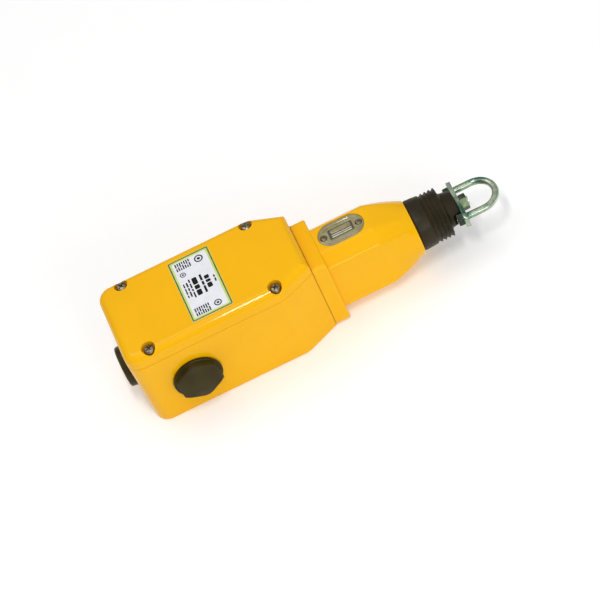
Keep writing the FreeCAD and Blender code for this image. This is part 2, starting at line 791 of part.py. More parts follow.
CAM_REAR = "(cam_centre - cam_half_length)"
CAM_FRONT = "(cam_centre + cam_half_length)"
THREAD_END = (f"({SHACKLE} + shackle_plate_thickness + nut_six_height + shaft_thread_tail)")


def make_shaft_group():
    """The sprung pull shaft with its cam, clip, collar, pin and tension indicator."""
    groove = f"{CAM_REAR} - ring_thickness - ring_play * 2"
    profile = [
        ("shaft_tail_x", "0"), ("shaft_tail_x", "shaft_tail_radius"),
        (groove, "shaft_tail_radius"), (groove, "ring_groove_radius"),
        (CAM_REAR, "ring_groove_radius"), (CAM_REAR, "shaft_tail_radius"),
        (CAM_FRONT, "shaft_tail_radius"), (CAM_FRONT, "shaft_radius"),
        (SHACKLE, "shaft_radius"), (SHACKLE, "shaft_thread_radius"),
        (THREAD_END, "shaft_thread_radius"), (THREAD_END, "0"),
    ]
    shaft = turned(profile, ("0", "0", "axis_height"), "+x")
    pin_x = f"{NOSE} + collar_start - 1"
    pin_hole = cylinder((pin_x, "-20", "axis_height"), "+y", "screw_three_radius", "40")
    node(cut(shaft, [pin_hole]), "pull_shaft")

    tall = "cam_waist_radius + cam_slope * cam_half_length"
    node(turned([("-cam_half_length", "shaft_tail_radius"), ("-cam_half_length", tall),
                 ("0", "cam_waist_radius"), ("cam_half_length", tall),
                 ("cam_half_length", "shaft_tail_radius")],
                ("cam_centre", "0", "axis_height"), "+x"), "spool_cam")

    far_side = "ring_thickness + ring_play"
    disc = turned([("ring_play", "ring_groove_radius"), (far_side, "ring_groove_radius"),
                   (far_side, "ring_radius"), ("ring_play", "ring_radius")],
                  (CAM_REAR, "0", "axis_height"), "-x")
    mouth = block((f"{CAM_REAR} - ring_thickness - 1", "-ring_groove_radius * 0.85",
                   "axis_height"), ("ring_thickness + 2", "ring_groove_radius * 1.7",
                                    "ring_radius + 1"))
    node(cut(disc, [mouth]), "cam_retaining_clip")

    start = f"{NOSE} + collar_start"
    collar = turned([("-2", "shaft_radius"), ("-2", "collar_hub_radius"),
                     ("collar_hub_length - 4", "collar_hub_radius"),
                     ("collar_hub_length - 4", "collar_radius"),
                     ("collar_length", "collar_radius"), ("collar_length", "shaft_radius")],
                    (start, "0", "axis_height"), "+x")
    node(cut(collar, [cylinder((pin_x, "-20", "axis_height"), "+y", "screw_three_radius", "40")]),
         "spring_collar")
    node(cylinder((pin_x, "-collar_hub_radius", "axis_height"), "+y", "screw_three_radius",
                  "collar_hub_radius * 2"), "collar_pin")
    node(turned([("collar_hub_length - 4", "collar_radius"), ("collar_hub_length - 4",
                 "indicator_radius"), ("collar_length", "indicator_radius"),
                 ("collar_length", "collar_radius")],
                (start, "0", "axis_height"), "+x"), "tension_indicator")

    room = (size("nose_chamber_length") - size("bush_flange_thickness") - size("collar_start")
            - size("collar_length") - 2 * size("seat_gap"))
    spring = coil(size("spring_mean_radius"), size("spring_wire_radius"), room,
                  size("spring_turns"))
    node(feature(spring, (f"{start} + collar_length + seat_gap", "0", "axis_height"), "+x"),
         "return_spring")


# ---------------------------------------------------------------- boot and shackle

def make_boot():
    """The rubber boot: cuff on the nose's spigot, four ridges, neck round the shaft."""
    cuff = "boot_cuff_length"
    ridge = "boot_ridges_length"
    count = 4
    outer = [("0", "boot_cuff_radius"), (cuff, "boot_cuff_radius - 0.6")]
    for i in range(count):
        low = f"{cuff} + {ridge} * {i + 0.15} / {count}"
        high = f"{cuff} + {ridge} * {i + 0.6} / {count}"
        outer += [(low, "boot_valley_radius"), (high, "boot_ridge_radius")]
    end = f"{cuff} + {ridge}"
    neck_end = "shackle_start - 0.3"
    outer += [(end, "boot_ridge_radius - 0.3"), (f"{end} + 1.2", "boot_neck_radius"),
              (neck_end, "boot_neck_end_radius")]
    hole = "shaft_radius + boot_gap"
    inner = [(neck_end, hole), (f"{neck_end} - shackle_thread_tail - 1.5", hole),
             (f"{neck_end} - shackle_thread_tail - 1.5", "boot_neck_end_radius - boot_wall"),
             (f"{end} - 0.4", "boot_neck_radius - boot_wall"),
             (f"{end} - 1.2", "boot_valley_radius - boot_wall"),
             (f"{cuff} + 0.5", "boot_valley_radius - boot_wall"),
             (f"{cuff} + 0.2", "nose_spigot_radius + boot_gap"),
             ("0", "nose_spigot_radius + boot_gap")]
    skin = turned(outer + inner, (f"{TIP} + 0.1", "0", "axis_height"), "+x")
    pockets = [cylinder((f"{SHACKLE} - shackle_thread_tail - 0.4", y, "axis_height"), "+x",
                        "nut_five_flats * 0.578 + boot_gap", "10")
               for y in ("-shackle_leg_spacing / 2", "shackle_leg_spacing / 2")]
    node(cut(skin, pockets), "rubber_boot")


def make_shackle():
    """The rope shackle: flat plate on the shaft's shoulder, bent rod and its nuts."""
    half = "shackle_leg_spacing / 2"
    up, side = "shackle_plate_width / 2", f"({half} + shackle_plate_width / 2)"
    bar = prism([(f"-{up}", f"-{side}"), (up, f"-{side}"), (up, side), (f"-{up}", side)],
                "shackle_plate_thickness", (SHACKLE, "0", "axis_height"), "+x")
    rounded(bar, "shackle_plate_corner", upright)
    holes = [cylinder((f"{SHACKLE} - 1", y, "axis_height"), "+x", radius, "10")
             for y, radius in ((f"-{half}", "shackle_rod_radius"), (half, "shackle_rod_radius"),
                               ("0", "shaft_thread_radius"))]
    node(cut(bar, holes), "shackle_plate")

    radius = size("shackle_leg_spacing") / 2
    straight = (size("shackle_thread_tail") + size("shackle_plate_thickness")
                + size("shackle_leg_length"))
    near = Part.makeLine(Vector(0, -radius, 0), Vector(straight, -radius, 0))
    bend = Part.Arc(Vector(straight, -radius, 0), Vector(straight + radius, 0, 0),
                    Vector(straight, radius, 0)).toShape()
    far = Part.makeLine(Vector(straight, radius, 0), Vector(0, radius, 0))
    section = Part.makeCircle(size("shackle_rod_radius"), Vector(0, -radius, 0), Vector(1, 0, 0))
    rod = Part.Wire([near, bend, far]).makePipeShell([Part.Wire(section)], True, True)
    node(feature(rod, (f"{SHACKLE} - shackle_thread_tail", "0", "axis_height")), "shackle_rod")

    across_corners = 1 / math.sqrt(3)
    nuts = []
    for y, twist in ((f"-{half}", 12.0), (half, 25.0)):
        nut = hexagon((SHACKLE, y, "axis_height"), "-x", f"nut_five_flats * {across_corners:.5f}",
                      "nut_five_height", twist)
        nuts.append(cut(nut, [cylinder((f"{SHACKLE} - 8", y, "axis_height"), "+x",
                                       "shackle_rod_radius", "10")]))
    node(group(nuts), "shackle_nuts")
    face = f"{SHACKLE} + shackle_plate_thickness"
    nut = hexagon((face, "0", "axis_height"), "+x", f"nut_six_flats * {across_corners:.5f}",
                  "nut_six_height", 18.0)
    node(cut(nut, [cylinder((f"{face} - 1", "0", "axis_height"), "+x", "shaft_thread_radius",
                            "10")]), "shaft_nut")


# ---------------------------------------------------------------- inner frame

CONTACTS = (("slack", "contact_slack_offset", -1), ("pull", "contact_pull_offset", 1))
PLATE_TOP = "(plate_underside + plate_thickness)"
TAIL_SCREWS = [("tail_block_x + tail_block_length / 2", f"{sign} * tail_block_width / 3")
               for sign in (-1, 1)]


def block_screws():
    """Where the contact blocks are screwed to the plate from below."""
    spots = []
    for name, offset, side in CONTACTS:
        for sign in (-1, 1):
            spots.append((f"cam_centre + {offset} + {sign} * contact_screw_offset",
                          f"{side} * (contact_inner + contact_screw_inset)"))
    return spots


def make_inner_frame():
    """The steel plate on the floor's bosses, the shaft's tail block, and their screws."""
    plate = block(("plate_rear_x", "-plate_width / 2", "plate_underside"),
                  ("plate_front_x - plate_rear_x", "plate_width", "plate_thickness"))
    holes = [cylinder((x, y, "plate_underside - 1"), "+z", "screw_four_radius + screw_clearance",
                      "plate_thickness + 2") for x, y in PLATE_SCREWS + TAIL_SCREWS]
    holes += [cylinder((x, y, "plate_underside - 1"), "+z",
                       "screw_three_radius + screw_clearance", "plate_thickness + 2")
              for x, y in block_screws()]
    node(cut(plate, holes), "mounting_plate")
    node(group([pan_screw((x, y, PLATE_TOP), "+z", "four",
                          "plate_thickness + plate_underside - body_floor")
                for x, y in PLATE_SCREWS]), "mounting_plate_screws")

    tail = block(("tail_block_x", "-tail_block_width / 2", PLATE_TOP),
                 ("tail_block_length", "tail_block_width",
                  f"axis_height + tail_block_rise - {PLATE_TOP}"))
    holes = [cylinder(("tail_block_x - 1", "0", "axis_height"), "+x",
                      "shaft_tail_radius + running_gap", "tail_block_length + 2")]
    holes += [cylinder((x, y, f"{PLATE_TOP} - 1"), "+z", "screw_four_radius + thread_gap", "9")
              for x, y in TAIL_SCREWS]
    node(cut(tail, holes), "tail_bearing_block")
    node(group([pan_screw((x, y, "plate_underside"), "-z", "four", "plate_thickness + 7")
                for x, y in TAIL_SCREWS]), "tail_block_screws")
    node(group([pan_screw((x, y, "plate_underside"), "-z", "three", "plate_thickness + 6")
                for x, y in block_screws()]), "contact_block_screws")

    washer = cylinder(("earth_x", "0", "mount_boss_height"), "+z", "earth_washer_radius",
                      "earth_washer_thickness")
    eye = cylinder(("earth_x", "0", "mount_boss_height - 1"), "+z",
                   "screw_four_radius + screw_clearance", "earth_washer_thickness + 2")
    node(cut(washer, [eye]), "earth_washer")
    node(pan_screw(("earth_x", "0", "mount_boss_height + earth_washer_thickness"), "+z", "four",
                   "mount_boss_height - body_floor"), "earth_screw")


# ---------------------------------------------------------------- contacts

def make_contacts():
    """Two contact blocks beside the cam, each with a plunger, bridge, spring and terminals."""
    screws = []
    for name, offset, side in CONTACTS:
        screws += make_contact(name, offset, side)
    node(group(screws), "terminal_screws")


def across(side, low, high):
    """A stretch of Y on one side of the shaft, as a block's start and width."""
    start = f"({low})" if side > 0 else f"-({high})"
    return start, f"({high}) - ({low})"


def make_contact(name, offset, side):
    centre = f"(cam_centre + {offset})"
    outward = "+y" if side > 0 else "-y"
    top = "(axis_height + contact_rise)"
    touch = f"(cam_waist_radius + cam_slope * abs({offset}) + plunger_gap)"
    back = "(contact_inner + contact_depth)"
    wall = "(contact_inner + contact_wall)"

    def brick(x, length, low, high, bottom, rise):
        start, width = across(side, low, high)
        return block((f"{centre} + ({x})", start, bottom), (length, width, rise))

    body = brick("-contact_length / 2", "contact_length", "contact_inner", back, PLATE_TOP,
                 f"{top} - {PLATE_TOP}")
    hollow = brick("-contact_cavity_length / 2", "contact_cavity_length", wall, f"{back} + 1",
                   "axis_height - contact_cavity_below",
                   "contact_cavity_below + contact_cavity_above")
    tools = [hollow]
    tools.append(cylinder((centre, f"{side} * (contact_inner - 1)", "axis_height"), outward,
                          "plunger_radius + 0.1", "contact_wall + 2"))
    spots = [f"{sign} * terminal_offset" for sign in (-1, 1)]
    for x in spots:
        tools.append(brick(f"{x} - terminal_width / 2", "terminal_width", wall,
                           f"{wall} + terminal_thickness", "axis_height",
                           "contact_rise + 1"))
        tools.append(cylinder((f"{centre} + {x}", f"{side} * ({wall} + terminal_reach / 2 + 1)", top),
                              "-z", "screw_three_radius + thread_gap", "5"))
    for sign in (-1, 1):
        tools.append(cylinder((f"{centre} + {sign} * contact_screw_offset",
                               f"{side} * (contact_inner + contact_screw_inset)",
                               f"{PLATE_TOP} - 1"), "+z", "screw_three_radius + thread_gap", "8"))
    node(cut(body, tools), f"contact_block_{name}")
    node(brick("-contact_length / 2", "contact_length", back, f"{back} + contact_cover_thickness",
               PLATE_TOP, f"{top} - {PLATE_TOP}"), f"contact_cover_{name}")

    neck = "plunger_neck"
    shoulder = "(plunger_neck + plunger_head_length)"
    tail = f"({shoulder} + plunger_tail_length)"
    stem = turned([("0", "0"), ("0", "0.4"), ("0.5", "1.6"), ("1.4", "plunger_radius"),
                   (neck, "plunger_radius"), (neck, "plunger_head_radius"),
                   (shoulder, "plunger_head_radius"), (shoulder, "plunger_tail_radius"),
                   (tail, "plunger_tail_radius"), (tail, "0")],
                  (centre, f"{side} * {touch}", "axis_height"), outward)
    node(stem, f"contact_plunger_{name}")

    seat = f"({touch} + {shoulder})"
    bar = brick("-bridge_length / 2", "bridge_length", seat, f"{seat} + bridge_thickness",
                "axis_height - bridge_height / 2", "bridge_height")
    eye = cylinder((centre, f"{side} * ({seat} - 1)", "axis_height"), outward,
                   "plunger_tail_radius", "bridge_thickness + 2")
    buttons = [cylinder((f"{centre} + {x}", f"{side} * {seat}", "axis_height"),
                        "-y" if side > 0 else "+y", "bridge_button_radius",
                        "bridge_button_height") for x in spots]
    node(fuse([cut(bar, [eye])] + buttons), f"contact_bridge_{name}")

    reach = (size("contact_inner") + size("contact_depth") - size("cam_waist_radius")
             - size("cam_slope") * abs(size(offset)) - size("plunger_gap") - size("plunger_neck")
             - size("plunger_head_length") - size("bridge_thickness") - 0.4)
    spring = coil(size("contact_spring_radius"), size("contact_wire_radius"), reach,
                  size("contact_spring_turns"))
    node(feature(spring, (centre, f"{side} * ({seat} + bridge_thickness + 0.2)", "axis_height"),
                 outward), f"contact_spring_{name}")

    strips = []
    screws = []
    for x in spots:
        upright_leg = brick(f"{x} - terminal_width / 2", "terminal_width", wall,
                            f"{wall} + terminal_thickness", "axis_height - 2.5",
                            "contact_rise + 2.5 + terminal_thickness")
        arm = brick(f"{x} - terminal_width / 2", "terminal_width", wall,
                    f"{wall} + terminal_reach", top, "terminal_thickness")
        spot = (f"{centre} + {x}", f"{side} * ({wall} + terminal_reach / 2 + 1)")
        hole = cylinder((spot[0], spot[1], f"{top} - 1"), "+z", "screw_three_radius + 0.1", "4")
        strips.append(cut(fuse([upright_leg, arm]), [hole]))
        screws.append(pan_screw((spot[0], spot[1], f"{top} + terminal_thickness"), "+z",
                                "three", "4.5 + terminal_thickness"))
    node(group(strips), f"contact_terminals_{name}")
    return screws


# ---------------------------------------------------------------- build and export

make_main_housing()
make_lid()
make_plugs()
make_nose()
make_nose_fittings()
make_shaft_group()
make_boot()
make_shackle()
make_inner_frame()
make_contacts()
doc.recompute()

for item in doc.Objects:
    if "Invalid" in item.State or "Error" in item.State:
        raise RuntimeError(f"{item.Name} did not build: {item.State}")
for item in NODES:
    if item.Shape.isNull() or not item.Shape.isValid() or not item.Shape.Solids:
        raise RuntimeError(f"{item.Label} is not a valid solid")

os.makedirs("parts", exist_ok=True)
for item in NODES:
    item.Shape.exportStep(os.path.join("parts", f"{item.Label}.step"))
print(f"{len(NODES)} nodes written")
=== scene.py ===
import math

import bmesh
import bpy
from mathutils import Matrix, Vector


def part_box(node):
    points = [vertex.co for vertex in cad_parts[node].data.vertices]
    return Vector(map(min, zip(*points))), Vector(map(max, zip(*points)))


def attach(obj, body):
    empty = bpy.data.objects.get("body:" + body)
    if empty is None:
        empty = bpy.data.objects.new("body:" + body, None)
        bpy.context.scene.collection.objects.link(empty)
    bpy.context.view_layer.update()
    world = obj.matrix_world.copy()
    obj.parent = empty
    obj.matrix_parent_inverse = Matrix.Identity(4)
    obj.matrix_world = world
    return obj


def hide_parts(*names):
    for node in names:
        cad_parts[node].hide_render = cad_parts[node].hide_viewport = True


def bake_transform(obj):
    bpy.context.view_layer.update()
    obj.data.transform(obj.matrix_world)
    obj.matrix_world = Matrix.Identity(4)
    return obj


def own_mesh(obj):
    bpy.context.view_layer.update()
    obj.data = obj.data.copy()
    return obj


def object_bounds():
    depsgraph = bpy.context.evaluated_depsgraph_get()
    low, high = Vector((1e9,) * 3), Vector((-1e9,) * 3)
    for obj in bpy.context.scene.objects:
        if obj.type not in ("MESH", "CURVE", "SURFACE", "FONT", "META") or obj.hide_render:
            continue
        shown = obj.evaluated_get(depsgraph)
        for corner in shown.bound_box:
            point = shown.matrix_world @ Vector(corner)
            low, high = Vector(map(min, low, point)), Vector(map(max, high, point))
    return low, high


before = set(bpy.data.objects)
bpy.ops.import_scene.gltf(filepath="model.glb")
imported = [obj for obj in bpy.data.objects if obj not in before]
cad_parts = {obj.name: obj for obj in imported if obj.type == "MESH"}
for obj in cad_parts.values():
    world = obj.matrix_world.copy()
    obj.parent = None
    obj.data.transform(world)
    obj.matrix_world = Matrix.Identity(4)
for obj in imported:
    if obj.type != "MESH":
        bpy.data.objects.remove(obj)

cad_low, cad_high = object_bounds()

# Camera: a long lens, level with the rope's line but rolled so that the rope runs up to the
# right, looking down on the lid from the side of the near conduit plug.
look_down = math.radians(49.5)
roll = math.radians(25.9)
camera_distance = 2.5
camera_aim = Vector((0.0540, 0.0067, 0.0057))
lens_length = 219.0
forward = Vector((0, math.cos(look_down), -math.sin(look_down)))
upward = Vector((0, math.sin(look_down), math.cos(look_down)))
sideways = Vector((1, 0, 0))
camera_right = sideways * math.cos(roll) - upward * math.sin(roll)
camera_up = upward * math.cos(roll) + sideways * math.sin(roll)
camera_turn = Matrix((camera_right, camera_up, -forward)).transposed().to_4x4()
bpy.ops.object.camera_add()
camera = bpy.context.object
camera.matrix_world = Matrix.Translation(camera_aim - forward * camera_distance) @ camera_turn
camera.data.lens = lens_length
camera.data.sensor_width = 36.0
camera.data.clip_end = 20.0
bpy.context.scene.camera = camera

# ------------------------------------------------------------------ room
# A plain pale paper sweep under the switch, an even room whose walls are darker than its
# ceiling, and three soft panels. Plain display colours keep the enamel's yellow true, and the
# paper glows a little, which holds it near white.
floor_gap = 0.0002
paper_glow = 0.16
room_strength = 0.58
bpy.context.scene.view_settings.view_transform = "Standard"
bpy.ops.mesh.primitive_plane_add(size=6.0, location=(0, 0, cad_low.z - floor_gap))
floor = bpy.context.object
floor.name = "studio_floor"


def put(tree, kind, sockets=None, **options):
    """Adds a shader node; a socket is given a value or another node's output."""
    node = tree.nodes.new(kind)
    for name, value in options.items():
        setattr(node, name, value)
    for name, value in (sockets or {}).items():
        if isinstance(value, bpy.types.NodeSocket):
            tree.links.new(value, node.inputs[name])
        else:
            node.inputs[name].default_value = value
    return node


def mixed(tree, amount, first, second):
    """Mixes two colours by an amount and gives the mixed colour's socket."""
    node = put(tree, "ShaderNodeMix", data_type="RGBA")
    for index, value in ((0, amount), (6, first), (7, second)):
        if isinstance(value, bpy.types.NodeSocket):
            tree.links.new(value, node.inputs[index])
        else:
            node.inputs[index].default_value = value
    return node.outputs[2]


paper = bpy.data.materials.new("studio_paper")
paper.use_nodes = True
tree = paper.node_tree
place = put(tree, "ShaderNodeTexCoord").outputs["Object"]
fibre = put(tree, "ShaderNodeTexNoise", {"Vector": place, "Scale": 40.0, "Detail": 4.0})
shader = tree.nodes["Principled BSDF"]
tree.links.new(mixed(tree, fibre.outputs["Fac"], (0.92, 0.92, 0.92, 1), (0.95, 0.95, 0.95, 1)),
               shader.inputs["Base Color"])
shader.inputs["Roughness"].default_value = 0.9
shader.inputs["Emission Color"].default_value = (1, 1, 1, 1)
shader.inputs["Emission Strength"].default_value = paper_glow
floor.data.materials.append(paper)

room = bpy.data.worlds.new("studio_room")
bpy.context.scene.world = room
room.use_nodes = True
tree = room.node_tree
sky = put(tree, "ShaderNodeTexCoord").outputs["Generated"]
height = put(tree, "ShaderNodeSeparateXYZ", {"Vector": sky}).outputs["Z"]
walls = put(tree, "ShaderNodeValToRGB", {"Fac": height})
walls.color_ramp.elements[0].position = 0.02
walls.color_ramp.elements[0].color = (0.16, 0.16, 0.16, 1)
walls.color_ramp.elements[1].position = 0.50
walls.color_ramp.elements[1].color = (1.0, 1.0, 1.0, 1)
tree.links.new(walls.outputs["Color"], tree.nodes["Background"].inputs["Color"])
tree.nodes["Background"].inputs["Strength"].default_value = room_strength


def soft_panel(name, place, aim, width, depth, power):
    """A rectangular area light that faces a point."""
    bpy.ops.object.light_add(type="AREA", location=place)
    panel = bpy.context.object
    panel.name = name
    panel.data.shape = "RECTANGLE"
    panel.data.size = width
    panel.data.size_y = depth
    panel.data.energy = power
    panel.rotation_euler = (Vector(aim) - Vector(place)).to_track_quat("-Z", "Y").to_euler()


# Two broad panels light the whole switch, and a narrow one draws the highlight along the lid's
# near edge.
switch_middle = (0.05, 0, 0.03)
lid_near_edge = (0.03, -0.034, 0.07)
soft_panel("overhead_panel", (-0.3, 0.5, 1.5), switch_middle, 0.9, 0.9, 3.8)
soft_panel("front_panel", (0.4, -1.4, 0.7), switch_middle, 0.7, 0.7, 5.8)
soft_panel("edge_panel", (0.0175, -0.468, 1.297), lid_near_edge, 0.09, 0.48, 4.6)

# ------------------------------------------------------------------ castings
# Base, lid and nose are die-cast aluminium with a thick glossy yellow enamel that pools
# slightly unevenly, shows a fine orange peel and thins to a browner line on sharp edges.


def new_group(name, inputs, outputs):
    """An empty shader node group with named inputs and outputs."""
    group = bpy.data.node_groups.new(name, "ShaderNodeTree")
    for label, kind, value in inputs:
        socket = group.interface.new_socket(label, in_out="INPUT", socket_type=f"NodeSocket{kind}")
        if value is not None:
            socket.default_value = value
    for label, kind in outputs:
        group.interface.new_socket(label, in_out="OUTPUT", socket_type=f"NodeSocket{kind}")
    return group, put(group, "NodeGroupInput").outputs, put(group, "NodeGroupOutput").inputs


# Uneven tone: two shades of one colour in soft patches of a given size.
uneven_tone, given, result = new_group(
    "uneven_tone", [("Place", "Vector", None), ("Scale", "Float", 20.0),
                    ("Light", "Color", (1, 1, 1, 1)), ("Dark", "Color", (0, 0, 0, 1))],
    [("Color", "Color")])
patches = put(uneven_tone, "ShaderNodeTexNoise",
              {"Vector": given["Place"], "Scale": given["Scale"], "Detail": 5.0,
               "Roughness": 0.6})
spread = put(uneven_tone, "ShaderNodeMapRange",
             {"Value": patches.outputs["Fac"], "From Min": 0.35, "From Max": 0.65})
uneven_tone.links.new(mixed(uneven_tone, spread.outputs["Result"], given["Dark"],
                            given["Light"]), result["Color"])

# Fine grain: a small relief for bump, with a matching change of roughness.
fine_grain, given, result = new_group(
    "fine_grain", [("Place", "Vector", None), ("Scale", "Float", 400.0),
                   ("Smoothest", "Float", 0.2), ("Roughest", "Float", 0.4)],
    [("Height", "Float"), ("Roughness", "Float")])
grain = put(fine_grain, "ShaderNodeTexNoise",
            {"Vector": given["Place"], "Scale": given["Scale"], "Detail": 3.0})
smear = put(fine_grain, "ShaderNodeTexNoise", {"Vector": given["Place"], "Scale": 35.0,
                                               "Detail": 4.0})
sheen = put(fine_grain, "ShaderNodeMapRange",
            {"Value": smear.outputs["Fac"], "From Min": 0.3, "From Max": 0.7,
             "To Min": given["Smoothest"], "To Max": given["Roughest"]})
fine_grain.links.new(grain.outputs["Fac"], result["Height"])
fine_grain.links.new(sheen.outputs["Result"], result["Roughness"])

# Edge wear: a broken mask along convex and concave edges.
edge_wear, given, result = new_group(
    "edge_wear", [("Place", "Vector", None), ("Width", "Float", 0.0008)],
    [("Mask", "Float")])
plain = put(edge_wear, "ShaderNodeNewGeometry").outputs["Normal"]
eased = put(edge_wear, "ShaderNodeBevel", {"Radius": given["Width"]}, samples=6)
turn_away = put(edge_wear, "ShaderNodeVectorMath", operation="DOT_PRODUCT")
edge_wear.links.new(plain, turn_away.inputs[0])
edge_wear.links.new(eased.outputs["Normal"], turn_away.inputs[1])
edge = put(edge_wear, "ShaderNodeMapRange", {"Value": turn_away.outputs["Value"],
                                             "From Min": 0.985, "From Max": 0.80,
                                             "To Min": 0.0, "To Max": 1.0})
chips = put(edge_wear, "ShaderNodeTexNoise", {"Vector": given["Place"], "Scale": 220.0,
                                              "Detail": 4.0})
broken = put(edge_wear, "ShaderNodeMapRange", {"Value": chips.outputs["Fac"],
                                               "From Min": 0.40, "From Max": 0.60})
both = put(edge_wear, "ShaderNodeMath", operation="MULTIPLY")
edge_wear.links.new(edge.outputs["Result"], both.inputs[0])
edge_wear.links.new(broken.outputs["Result"], both.inputs[1])
edge_wear.links.new(both.outputs["Value"], result["Mask"])


def use(tree, group, **sockets):
    """Places a node group in a material and gives its outputs."""
    node = put(tree, "ShaderNodeGroup", node_tree=group)
    for name, value in sockets.items():
        if isinstance(value, bpy.types.NodeSocket):
            tree.links.new(value, node.inputs[name])
        else:
            node.inputs[name].default_value = value
    return node.outputs


def finish(name, light, dark, tone_scale=30.0, grain_scale=400.0, smoothest=0.3, roughest=0.5,
           relief=0.05, worn=None, worn_amount=0.5, metallic=0.0, stretch=(1, 1, 1), **plain):
    """A material: uneven tone, worn edges, and a grain that changes roughness and relief."""
    material = bpy.data.materials.new(name)
    material.use_nodes = True
    tree = material.node_tree
    shader = tree.nodes["Principled BSDF"]
    place = put(tree, "ShaderNodeTexCoord").outputs["Object"]
    lay = put(tree, "ShaderNodeMapping", {"Vector": place, "Scale": stretch}).outputs["Vector"]
    colour = use(tree, uneven_tone, Place=lay, Scale=tone_scale, Light=(*light, 1),
                 Dark=(*dark, 1))["Color"]
    if worn:
        mask = use(tree, edge_wear, Place=place)["Mask"]
        part = put(tree, "ShaderNodeMath", operation="MULTIPLY")
        tree.links.new(mask, part.inputs[0])
        part.inputs[1].default_value = worn_amount
        colour = mixed(tree, part.outputs["Value"], colour, (*worn, 1))
    tree.links.new(colour, shader.inputs["Base Color"])
    surface = use(tree, fine_grain, Place=lay, Scale=grain_scale, Smoothest=smoothest,
                  Roughest=roughest)
    tree.links.new(surface["Roughness"], shader.inputs["Roughness"])
    bump = put(tree, "ShaderNodeBump", {"Height": surface["Height"], "Strength": 1.0,
                                        "Distance": relief / 1000})
    tree.links.new(bump.outputs["Normal"], shader.inputs["Normal"])
    shader.inputs["Metallic"].default_value = metallic
    for socket, value in plain.items():
        shader.inputs[socket.replace("_", " ")].default_value = value
    return material


def repaint(material, *names):
    """Gives CAD nodes that keep their shape a finish of their own."""
    for name in names:
        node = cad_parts[name]
        for index in range(max(1, len(node.data.materials))):
            if len(node.data.materials) <= index:
                node.data.materials.append(material)
            else:
                node.data.materials[index] = material


enamel = finish("yellow_enamel", (0.945, 0.492, 0.0003), (0.905, 0.458, 0.0002), tone_scale=14.0,
                grain_scale=900.0, smoothest=0.20, roughest=0.30, relief=0.012,
                worn=(0.50, 0.25, 0.005), worn_amount=0.45,
                Specular_IOR_Level=0.03, Coat_Weight=0.36, Coat_Roughness=0.05)
repaint(enamel, "main_housing", "housing_lid", "nose_casting")

# ------------------------------------------------------------------ seals
# The lid, window and plug seals are moulded from soft black rubber; only thin edges of them
# show in the joints.
seal_rubber = finish("seal_rubber", (0.030, 0.028, 0.024), (0.016, 0.015, 0.013),
                     grain_scale=700.0, smoothest=0.55, roughest=0.75, relief=0.03)
repaint(seal_rubber, "lid_seal", "window_seal", "conduit_plug_seals")

# ------------------------------------------------------------------ lid screws
# Four M4 pan-head screws with a cross recess, in dark zinc plating with a bronze cast. One
# is turned and recessed, and the four are copies of it, each driven to an angle of its own.


def start_clean():
    """Leaves everything unselected, ready for one new piece."""
    if bpy.context.mode != "OBJECT":
        bpy.ops.object.mode_set(mode="OBJECT")
    bpy.ops.object.select_all(action="DESELECT")


def take(piece):
    """Selects one piece alone and makes it the active one."""
    start_clean()
    piece.select_set(True)
    bpy.context.view_layer.objects.active = piece


def edit_all(piece):
    """Opens one piece for editing with all of it selected."""
    take(piece)
    bpy.ops.object.mode_set(mode="EDIT")
    bpy.ops.mesh.select_all(action="SELECT")


def apply_place(piece):
    """Works a piece's place, turn and size into its mesh."""
    take(piece)
    bpy.ops.object.transform_apply(location=True, rotation=True, scale=True)


def apply_modifier(piece, kind, **settings):
    """Adds a modifier to a piece and applies it at once."""
    take(piece)
    modifier = piece.modifiers.new("shaping", kind)
    for name, value in settings.items():
        setattr(modifier, name, value)
    bpy.ops.object.modifier_apply(modifier=modifier.name)


def soften(piece, width, steps=3, angle=30):
    """Rounds every edge that turns by more than an angle."""
    apply_modifier(piece, "BEVEL", width=width, segments=steps, limit_method="ANGLE",
                   angle_limit=math.radians(angle), harden_normals=False)


def turned(stations, sides=64):
    """A closed form turned about Z: a disc extruded and resized from station to station."""
    start_clean()
    height, radius = stations[0]
    bpy.ops.mesh.primitive_circle_add(vertices=sides, radius=radius, fill_type="NGON",
                                      location=(0, 0, height))
    piece = bpy.context.object
    edit_all(piece)
    for (low, before), (high, after) in zip(stations, stations[1:]):
        bpy.ops.mesh.extrude_region_move(TRANSFORM_OT_translate={"value": (0, 0, high - low)})
        if abs(after - before) > 1e-9:
            bpy.ops.transform.resize(value=(after / before, after / before, 1),
                                     center_override=(0, 0, 0))
    bpy.ops.object.mode_set(mode="OBJECT")
    apply_place(piece)
    return piece


def slab(size, middle):
    """A plain block for cutting or bevelling."""
    start_clean()
    bpy.ops.mesh.primitive_cube_add(size=1, location=middle)
    piece = bpy.context.object
    piece.scale = size
    apply_place(piece)
    return piece


def carve(piece, cutter, operation="DIFFERENCE"):
    """Cuts a piece with another, which is used up."""
    apply_modifier(piece, "BOOLEAN", object=cutter, operation=operation, solver="EXACT")
    bpy.data.objects.remove(cutter)


def stand(piece, place, direction=(0, 0, 1), twist=0.0):
    """Puts a piece made upright about Z in its place, facing a direction."""
    turn = Vector(direction).to_track_quat("Z", "Y").to_matrix().to_4x4()
    piece.matrix_world = (Matrix.Translation(Vector(place)) @ turn
                          @ Matrix.Rotation(math.radians(twist), 4, "Z"))
    apply_place(piece)


def copy_of(piece):
    """A copy with its own mesh."""
    twin = piece.copy()
    twin.data = piece.data.copy()
    bpy.context.collection.objects.link(twin)
    return twin


